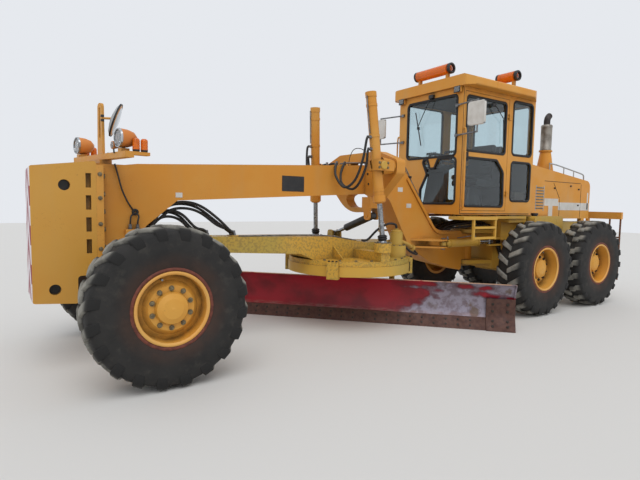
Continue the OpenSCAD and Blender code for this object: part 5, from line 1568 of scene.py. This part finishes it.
class GRADER_OT_hood_parts(bpy.types.Operator):
    """Make the exhaust and what the hood, tanks and rear end carry"""

    bl_idname = "grader.hood_parts"
    bl_label = "Hood parts"

    # [x, z] of the rail along the hood's left edge, and of its posts' feet and tops
    rail = [[-2.98, 2.31], [-3.20, 2.295], [-3.43, 2.265], [-3.72, 2.225], [-4.0, 2.185], [-4.07, 2.165],
            [-4.09, 2.13], [-4.09, 2.05]]
    rail_posts = [[(-3.0, 2.17), (-2.99, 2.312)], [(-3.43, 2.12), (-3.43, 2.265)],
                  [(-3.75, 2.085), (-3.75, 2.222)]]
    # Seams from start to end, and latches; each place is x, z
    seam_lines = [[(-2.80, 2.01), (-3.92, 2.005)], [(-3.07, 1.984), (-3.26, 1.733)],
                  [(-3.94, 1.99), (-3.94, 1.40)], [(-3.27, 1.72), (-3.27, 1.42)]]
    latches = [[-3.10, 1.90], [-3.60, 1.95], [-3.86, 1.90], [-3.86, 1.62]]
    # Turned profiles of the exhaust and of the caps on the tanks and the frame hinge, as [height, radius]
    exhaust_foot = [[0, 0.15], [0.012, 0.15], [0.012, 0.13], [0.03, 0.13]]
    exhaust_cone = [[-0.02, 0.135], [0.015, 0.135], [0.323, 0.086], [0.323, 0.106], [0.345, 0.106]]
    muffler = [[0, 0.085], [0.02, 0.092], [0.03, 0.092], [0.034, 0.089], [0.40, 0.089], [0.404, 0.092],
               [0.435, 0.092], [0.45, 0.080], [0.452, 0.056]]
    hitch_cap = [[-0.001, 0.085], [0.014, 0.085], [0.018, 0.08]]
    tank_cap = [[0, 0.045], [0.02, 0.045], [0.02, 0.055], [0.045, 0.055], [0.05, 0.048]]
    exhaust_back, exhaust_y = 0.79, 0.30
    tip_radii = [0.052, 0.047]
    tip_bend = 0.11
    tip_sides = 28
    # [y at the hinge, rise in the middle] of the hoses over the frame hinge
    hinge_hoses = [[-0.24, 0], [-0.12, 0.05], [-0.04, 0.02], [0.05, 0.06], [0.13, 0.01], [0.21, 0.04],
                   [0.28, -0.02]]
    rear_hose_routes = [
        [(-2.02, 0.30, 1.30), (-1.92, 0.355, 1.22), (-1.86, 0.36, 1.08), (-1.88, 0.36, 0.92),
         (-1.96, 0.35, 0.80)],
        [(-2.02, 0.24, 1.30), (-1.84, 0.36, 1.26), (-1.80, 0.365, 1.10), (-1.84, 0.362, 0.90),
         (-1.96, 0.35, 0.74)],
    ]

    def execute(self, context):
        width = context.scene.grader_hoses.thick
        self.exhaust()
        self.exhaust_tip()
        self.stripes()
        self.louvres()
        self.hood_rail()
        self.engine_hoses()
        self.radiator()
        self.tanks()
        self.bolt_rings()
        Shape("hose_rubber").hoses(self.rear_hose_routes, width).mirrored().piece("rear_hoses", "rear_frame")
        self.frame_hoses(width)
        self.sill_pipes()
        return {"FINISHED"}

    def exhaust_place(self, height):
        """Place on the exhaust's axis, at a height over the hood."""
        hood_z = HOOD_HIGH.z - self.exhaust_back * math.tan(HOOD_SLOPE)
        return Vector((HOOD_HIGH.x - self.exhaust_back, self.exhaust_y, hood_z + 0.0003 + height))

    def exhaust(self):
        over_hood = (-math.sin(HOOD_SLOPE), 0, math.cos(HOOD_SLOPE))
        base = Shape("cab_paint").lathe(self.exhaust_place(0), over_hood, self.exhaust_foot)
        base.lathe(self.exhaust_place(0.022), UP, self.exhaust_cone)
        base.piece("exhaust_base", "rear_frame", replaces=["exhaust"])
        neck = self.exhaust_place(0.36)
        bolt = Shape("dull_nut").bolts([neck + Vector((0.095, 0, 0.006))], UP, 0.018)
        bolt.copied(8, turn=(0, 0, 45), pivot=neck).piece("exhaust_bolts", "rear_frame")
        muffler = Shape("muffler_steel").lathe(neck - UP * 0.01, UP, self.muffler)
        muffler.piece("muffler", "rear_frame", smooth=40)

    def exhaust_tip(self):
        """A thin pipe that bends to the rear, as a skin up its outside and down its inside."""
        top = self.exhaust_place(0.80)
        bend = top + Vector((-self.tip_bend, 0, 0.06))
        rows = [(top - UP * 0.01, 0)]
        for degrees in (0, 10, 20, 30, 40, 50, 60, 65):
            rows.append((around(bend, AHEAD * self.tip_bend, UP * self.tip_bend, [degrees])[0], degrees))
        turns = [360 * i / self.tip_sides for i in range(self.tip_sides)]
        rings = []
        for radius, order in zip(self.tip_radii, (1, -1)):
            for centre, degrees in rows[::order]:
                across = around(Vector(), AHEAD, UP, [degrees])[0]
                rings.append(around(centre, across * radius, LEFT * radius, turns))
        tip = Shape("burnt_steel").loft(rings + rings[:1], capped=False)
        tip.piece("exhaust_tip", "rear_frame", smooth=50)

    def hood_rail(self):
        y = HOOD_HIGH.y - 0.045
        rail = Shape("grey_plate").tube([(x, y, z) for x, z in self.rail], 0.022)
        for (foot_x, foot_z), (top_x, top_z) in self.rail_posts:
            rail.bar((foot_x, y, foot_z), (top_x, y, top_z), 0.018)
        rail.piece("hood_rail", "rear_frame")

    def stripes(self):
        """Stripes and seams on the hood's sides."""
        side = HOOD_HIGH.y
        bands = Shape("white_paint").box((-4.23, side - 0.001, 1.53), (-3.235, side + 0.0015, 1.662))
        bands.box((-4.20, side - 0.001, 1.545), (-4.16, side + 0.0015, 1.85))
        bands.mirrored().piece("hood_bands", "rear_frame")
        seams = Shape("window_rubber")
        for (start_x, start_z), (end_x, end_z) in self.seam_lines:
            seams.bar((start_x, side, start_z), (end_x, side, end_z), 0.008, 8)
        seams.mirrored().piece("hood_seams", "rear_frame")

    def louvres(self):
        """Louvres with their frames, latches and blank plates on the hood's sides."""
        side = HOOD_HIGH.y
        back, front = HOOD_HIGH.x - 0.47, HOOD_HIGH.x - 0.27
        frames = Shape("grey_plate")
        for x in (back - 0.02, front + 0.002):
            frames.box((x, side - 0.001, 1.515), (x + 0.018, side + 0.0015, 1.93))
        frames.mirrored().piece("louvre_frames", "rear_frame")
        latches = Shape("dark_nut")
        for x, z in self.latches:
            latches.box((x - 0.02, side - 0.001, z - 0.012), (x + 0.02, side + 0.014, z + 0.012))
        latches.mirrored().piece("hood_latches", "rear_frame", bevel=0.003)
        tilt = Matrix.Rotation(math.radians(35), 3, "X")
        blades = Shape("grey_plate")
        for i in range(8):
            z = HOOD_LOW.z + 0.226 + i * 0.048
            blades.box((back, side - 0.016, z - 0.002), (front, side + 0.010, z + 0.002), turn=tilt)
        blades.mirrored().piece("louvre_blades", "rear_frame")
        plates = Shape("white_paint").box((-3.225, side - 0.001, 1.60), (-2.815, side + 0.003, 1.722))
        plates.box((-3.06, side + 0.0005, 1.385), (-2.94, side + 0.0035, 1.61))
        plates.piece("blank_plates", "rear_frame")

    def radiator(self):
        x, half = HOOD_LOW.x + 0.045, 0.385
        core = Shape("satin_black").box((x, -half, 1.45), (x + 0.025, half, 1.915))
        core.piece("radiator_core", "rear_frame")
        fin = Shape("dark_nut").box((x - 0.005, -half, 1.45), (x, 0.002 - half, 1.915))
        fin.copied(64, step=(0, 0.0121, 0)).piece("radiator_fins", "rear_frame")

    def engine_hoses(self):
        """Hoses up the gap between the cab and the hood."""
        x = (CAB_LOW.x + HOOD_HIGH.x) / 2
        routes = []
        for i, y in enumerate((0.33, 0.40, 0.47)):
            rise = 0.05 * i
            routes.append([(x, y, 1.36), (x, y, 1.50), (x + 0.004 * i, y, 1.75), (x, y * 0.97, 1.98 + rise),
                           (x - 0.012, y * 0.9, 2.06 + rise), (x - 0.03, y * 0.85, 2.08 + rise)])
        Shape("hose_rubber").hoses(routes, 0.034).mirrored().piece("engine_hoses", "rear_frame")

    def tanks(self):
        lowest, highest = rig.box("side_tanks")
        cap = Shape("satin_black").lathe((highest.x - 0.16, 0.60, highest.z - 0.001), UP, self.tank_cap, 32)
        cap.mirrored().piece("tank_caps", "rear_frame")
        straps = Shape("old_paint")
        for x in (lowest.x + 0.16, highest.x - 0.30):
            straps.box((x, highest.y - 0.002, lowest.z + 0.03),
                       (x + 0.04, highest.y + 0.002, highest.z - 0.05))
        straps.mirrored().piece("tank_straps", "rear_frame")

    def bolt_rings(self):
        """Bolts on the tandem cases and the bumper, and the frame hinge's cap with its bolts."""
        hubs = Shape("dull_nut")
        for wheel in ("mid_left", "rear_left"):
            centre = middle("tyre_" + wheel)
            centre.y = 0.82
            hubs.bolts(around(centre, AHEAD * 0.135, UP * 0.135, range(0, 360, 36)), LEFT, 0.022)
        hubs.mirrored().piece("tandem_bolts", "rear_frame")
        x = low("rear_bumper").x
        bumper = Shape("dull_nut")
        bumper.bolts([(x, y, z) for y in (0.36, 0.39) for z in (1.40, 1.48)], -AHEAD, 0.024)
        bumper.bolts([(x, y, 1.45) for y in (0.77, 0.95)], -AHEAD, 0.030)
        bumper.mirrored().piece("bumper_bolts", "rear_frame")
        hitch = Vector((HITCH_X, 0, 1.232))
        cap = Shape("worn_steel").lathe(hitch, UP, self.hitch_cap, 40)
        cap.bolts(around(hitch + UP * 0.016, AHEAD * 0.062, LEFT * 0.062, range(30, 360, 60)), UP, 0.020)
        cap.piece("hinge_pin_cap", "rear_frame")

    def frame_hoses(self, width):
        """Hoses from the gooseneck over the frame hinge to the rear frame."""
        routes = []
        for y, rise in self.hinge_hoses:
            front_y = y * 0.45
            routes.append([(-0.80, front_y, 1.165), (-0.90, front_y * 1.2, 1.235 + rise * 0.5),
                           (-1.10, y * 0.9, 1.27 + rise * 0.6), (HITCH_X, y, 1.29 + rise),
                           (-1.62, y, 1.30 + rise * 0.5), (-1.735, y, 1.27)])
        Shape("hose_rubber").hoses(routes, width).piece(
            "frame_hoses", "front_frame", bend=("rear_frame", (-0.95, 0, 1.25), (-1.70, 0, 1.28)))

    def sill_pipes(self):
        """Brown pipes with clips under the cab's floor."""
        pipes, clips = Shape("brown_rust"), Shape("lamp_paint")
        for y, z in ((0.575, 1.418), (0.535, 1.414), (0.50, 1.42)):
            pipes.tube([(-0.66, y, z + 0.02), (-0.72, y, z), (-1.2, y, z - 0.004), (-1.68, y, z),
                        (-1.77, y, z - 0.01)], 0.022)
        for x in (-0.85, -1.15, -1.45, -1.7):
            clips.box((x - 0.015, 0.485, 1.40), (x + 0.015, 0.59, 1.4505))
        pipes.mirrored().piece("sill_pipes", "rear_frame")
        clips.mirrored().piece("sill_clips", "rear_frame", bevel=0.003)


class GRADER_OT_drawbar_parts(bpy.types.Operator):
    """Make the fittings on the drawbar, circle and hinge cylinders"""

    bl_idname = "grader.drawbar_parts"
    bl_label = "Drawbar parts"

    # Turned profiles, as [distance along the axis, radius]
    motor_cap = [[-0.001, 0.07], [0.02, 0.07], [0.03, 0.055], [0.03, 0.03], [0.05, 0.03]]
    neck_ring = [[0, 0.038], [0, 0.062], [0.012, 0.066], [0.03, 0.06], [0.03, 0.038]]
    barrel_gland = [[0, 0.056], [0, 0.064], [0.03, 0.064], [0.036, 0.056]]
    barrel_band = [[0, 0.056], [0, 0.063], [0.03, 0.063], [0.03, 0.056]]
    pin_cap = [[-0.002, 0.034], [0.008, 0.034], [0.010, 0.03]]
    pipe_mouth = [[-0.01, 0.05], [0.02, 0.05], [0.02, 0.03]]
    # The large pipe that bends down behind the drawbar, and the hose that goes on from it
    pipe_route = [(0.46, 0.265, 1.06), (0.40, 0.30, 1.08), (0.22, 0.315, 1.075), (0.08, 0.31, 1.03),
                  (0.0, 0.30, 0.985)]
    pipe_hose = [(-0.02, 0.30, 0.97), (-0.06, 0.31, 0.93), (-0.05, 0.36, 0.905), (0.04, 0.42, 0.91),
                 (0.16, 0.42, 0.96), (0.245, 0.41, 1.04)]
    # [x, z] of the steel lines on the drawbar
    line_route = [[2.50, 1.189], [1.9, 1.187], [1.35, 1.170], [1.10, 1.139], [0.86, 1.099]]
    # The frame hinge cylinders' axis, and the pins at their front ends
    cylinder_y = 0.40
    cylinder_z = 1.03
    pin_x = -0.52
    pin_half = 0.0705
    # Radii of the rings of bolts
    plate_bolt_circle = 0.735
    hanger_circle = 0.824
    gearbox_bolt_circle = 0.115

    def execute(self, context):
        width = context.scene.grader_hoses.thick
        self.circle_bolts()
        self.motor(width)
        self.ball_neck()
        for name, side in SIDES.items():
            self.hinge_cylinder(name, side)
        return {"FINISHED"}

    def circle_bolts(self):
        centre = CIRCLE_PLACE + UP * PLATE_TOP
        bolt = Shape("dull_nut").bolts([centre + AHEAD * self.plate_bolt_circle], UP, 0.03)
        bolt.copied(24, turn=(0, 0, 15), pivot=centre).piece("plate_bolts", "drawbar")
        hangers = Shape("dark_nut")
        for degrees in (40, 140, 220, 320):
            for out in (-0.045, 0, 0.045):
                hanger = around(centre, AHEAD * self.hanger_circle, LEFT * self.hanger_circle, [degrees])[0]
                hangers.bolts(around(hanger, LEFT * out, -AHEAD * out, [degrees]), UP, 0.026)
        hangers.piece("hanger_bolts", "drawbar")

    def motor(self, width):
        motor = middle("circle_drive")
        top = Vector((motor.x, motor.y, high("circle_drive").z))
        Shape("old_paint").lathe(top, UP, self.motor_cap, 32).piece("motor_cap", "drawbar")
        place = (motor.x + self.gearbox_bolt_circle, motor.y, PLATE_TOP + 0.150)
        bolt = Shape("dull_nut").bolts([place], UP, 0.022)
        bolt.copied(10, turn=(0, 0, 36), pivot=motor).piece("gearbox_bolts", "drawbar")
        pipe = Shape("old_paint").tube(self.pipe_route, 0.055, sides=20)
        pipe.lathe((-0.005, 0.30, 0.98), (-0.87, 0, -0.5), self.pipe_mouth, 32)
        pipe.piece("drawbar_pipe", "drawbar")
        # [ahead of the motor's top, to its left, above it]
        leave = [[0, 0, 0.05], [0.02, 0, 0.10], [0.12, -0.03, 0.11], [0.24, -0.10, 0.03]]
        motor_hose = [top + Vector(step) for step in leave] + [(0.72, 0.225, 1.11), (0.80, 0.20, 1.10)]
        Shape("hose_rubber").hoses([self.pipe_hose, motor_hose], width).piece("motor_hoses", "drawbar")
        lines = [[(x, y, z) for x, z in self.line_route] for y in (0.12, 0.15)]
        Shape("worn_steel").hoses(lines, 0.016).piece("drawbar_lines", "drawbar")

    def ball_neck(self):
        ring = Shape("window_rubber").hoop((3.245, 0, 1.119), -AHEAD, self.neck_ring, 40)
        ring.piece("ball_neck_ring", "drawbar")
        places = [(x, 0.09, z) for x in (3.42, 3.50) for z in (1.03, 1.21)]
        Shape("dull_nut").bolts(places, LEFT, 0.03).mirrored().piece("bracket_bolts", "front_frame")

    def hinge_cylinder(self, name, side):
        body = "hinge_barrel_" + name
        y, z = side * self.cylinder_y, self.cylinder_z
        end = Vector((low(body).x, y, z))
        glands = Shape("old_paint").hoop(end + AHEAD * 0.035, -AHEAD, self.barrel_gland, 40)
        glands.hoop(end + AHEAD * 0.60, AHEAD, self.barrel_band, 40).piece("hinge_glands_" + name, body)
        ports = Shape("worn_steel")
        ports.fittings([end + Vector((along, 0, 0.055)) for along in (0.06, 0.66)], UP, 0.024)
        # [distance ahead of the barrel's end, height over its axis]
        line = [[0.06, 0.09], [0.10, 0.105], [0.30, 0.085], [0.45, 0.075]]
        ports.tube([end + Vector((along, 0, above)) for along, above in line], 0.014)
        ports.piece("hinge_ports_" + name, body)
        caps = Shape("worn_steel")
        for out in (UP, -UP):
            caps.lathe(Vector((self.pin_x, y, z)) + out * self.pin_half, out, self.pin_cap, 24)
        caps.piece("hinge_pin_caps_" + name, "front_frame")


class GRADER_OT_blade_parts(bpy.types.Operator):
    """Make the cutting edge's bolts and the plate at the blade's left end"""

    bl_idname = "grader.blade_parts"
    bl_label = "Blade parts"

    # The moldboard's front face is an arc about this place in the blade's own frame
    arc_radius = 0.408
    arc_x = 0.298
    arc_z = 0.30
    # The cutting edge's front face leans back from the ground up
    edge_front = 0.016
    edge_top = 0.15
    edge_lean = 0.5
    edge_facing = BLADE_TURN @ Vector((0.894, 0, 0.447))
    # Turned profile, as [distance along the axis, radius]
    edge_bolt = [[-0.001, 0.015], [0.004, 0.014], [0.006, 0.010]]
    rib_width = 0.016

    def execute(self, context):
        sizes = context.scene.grader_blade
        self.edge_bolts(sizes)
        self.end_bit(sizes)
        self.end_bit_bolts(BLADE_HALF - sizes.end_bit)
        self.end_ribs()
        return {"FINISHED"}

    def face(self, z):
        """Where the moldboard's front face lies at a height, in the blade's own frame."""
        return self.arc_x - math.sqrt(self.arc_radius ** 2 - (z - self.arc_z) ** 2)

    def edge(self, z):
        """Where the cutting edge's front face lies at a height."""
        return self.edge_front - z * self.edge_lean

    def edge_bolts(self, sizes):
        count = int((2 * BLADE_HALF - sizes.end_bit - 0.1) / sizes.bolt_pitch)
        pair = Shape("dark_nut")
        for z in (0.05, 0.11):
            place = on_blade(self.edge(z), -BLADE_HALF + 0.08, z)
            pair.lathe(place, self.edge_facing, self.edge_bolt, 16)
        step = BLADE_TURN @ Vector((0, sizes.bolt_pitch, 0))
        pair.copied(count, step=step).piece("edge_bolts", "blade")

    def end_bit(self, sizes):
        """The plate over the edge and the moldboard at the left end, from the ground up."""
        back = [(self.edge(z), z) for z in (0, self.edge_top)]
        steps = 8
        for i in range(1, steps + 1):
            z = 0.16 + (sizes.end_bit_height - 0.16) * i / steps
            back.append((max(self.face(z) + 0.001, -0.0815), z))
        outline = [(x + 0.001, z) for x, z in back] + [(x + 0.021, z) for x, z in reversed(back)]
        ends = (BLADE_HALF - sizes.end_bit, BLADE_HALF + 0.004)
        Shape("rusty_edge").loft([[on_blade(x, y, z) for x, z in outline] for y in ends]).piece(
            "end_bit", "blade", bevel=0.003)

    def end_bit_bolts(self, start):
        heads = Shape("dark_nut")
        for y in (start + 0.08, BLADE_HALF - 0.09):
            heads.bolts([on_blade(self.edge(z) + 0.021, y, z) for z in (0.06, 0.12)], self.edge_facing, 0.026)
            heads.bolts([on_blade(-0.060, y, z) for z in (0.24, 0.33)], BLADE_TURN @ AHEAD, 0.028)
        heads.piece("end_bit_bolts", "blade")

    def end_ribs(self):
        """Ribs that close the moldboard's two ends."""
        steps = 10
        heights = [self.edge_top + 0.44 * i / steps for i in range(steps + 1)]
        outline = [(self.face(z) - 0.022, z) for z in heights]
        outline += [(x + 0.05, z) for x, z in reversed(outline)]
        ribs = Shape("worn_blade_red")
        for y in (-BLADE_HALF, BLADE_HALF - self.rib_width):
            ribs.loft([[on_blade(x, y + end, z) for x, z in outline] for end in (0, self.rib_width)])
        ribs.piece("blade_end_ribs", "blade")


CLASSES = [StageSizes, WheelSizes, WheelPartSizes, CabSizes, HoseSizes, BladeSizes,
           GRADER_OT_stage, GRADER_OT_finishes, GRADER_OT_tyres, GRADER_OT_wheel_parts, GRADER_OT_front_parts,
           GRADER_OT_lamps, GRADER_OT_lift_parts, GRADER_OT_cab_parts, GRADER_OT_hood_parts,
           GRADER_OT_drawbar_parts, GRADER_OT_blade_parts]
OPERATORS = [c for c in CLASSES if issubclass(c, bpy.types.Operator)]
SIZE_GROUPS = {"grader_stage": StageSizes, "grader_wheels": WheelSizes, "grader_wheel_parts": WheelPartSizes,
               "grader_cab": CabSizes, "grader_hoses": HoseSizes, "grader_blade": BladeSizes}


class GRADER_PT_panel(bpy.types.Panel):
    """Lists the sizes and the steps"""

    bl_label = "Grader"
    bl_space_type = "VIEW_3D"
    bl_region_type = "UI"
    bl_category = "Grader"

    def draw(self, context):
        for group in SIZE_GROUPS:
            for name in getattr(context.scene, group).bl_rna.properties.keys():
                if name not in ("rna_type", "name"):
                    self.layout.prop(getattr(context.scene, group), name)
        for operator in OPERATORS:
            self.layout.operator(operator.bl_idname)


def register():
    for made in [*CLASSES, GRADER_PT_panel]:
        bpy.utils.register_class(made)
    for name, group in SIZE_GROUPS.items():
        setattr(bpy.types.Scene, name, bpy.props.PointerProperty(type=group))


def unregister():
    for name in SIZE_GROUPS:
        delattr(bpy.types.Scene, name)
    for made in reversed([*CLASSES, GRADER_PT_panel]):
        bpy.utils.unregister_class(made)


def main():
    register()
    for operator in OPERATORS:
        family, name = operator.bl_idname.split(".")
        getattr(getattr(bpy.ops, family), name)()
    boxes = {"cad": CAD_BOX, "visual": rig.bounds()}
    with open(SIZE_FILE, "w") as file:
        json.dump({name: [list(corner) for corner in box] for name, box in boxes.items()}, file)


if __name__ == "__main__":
    main()
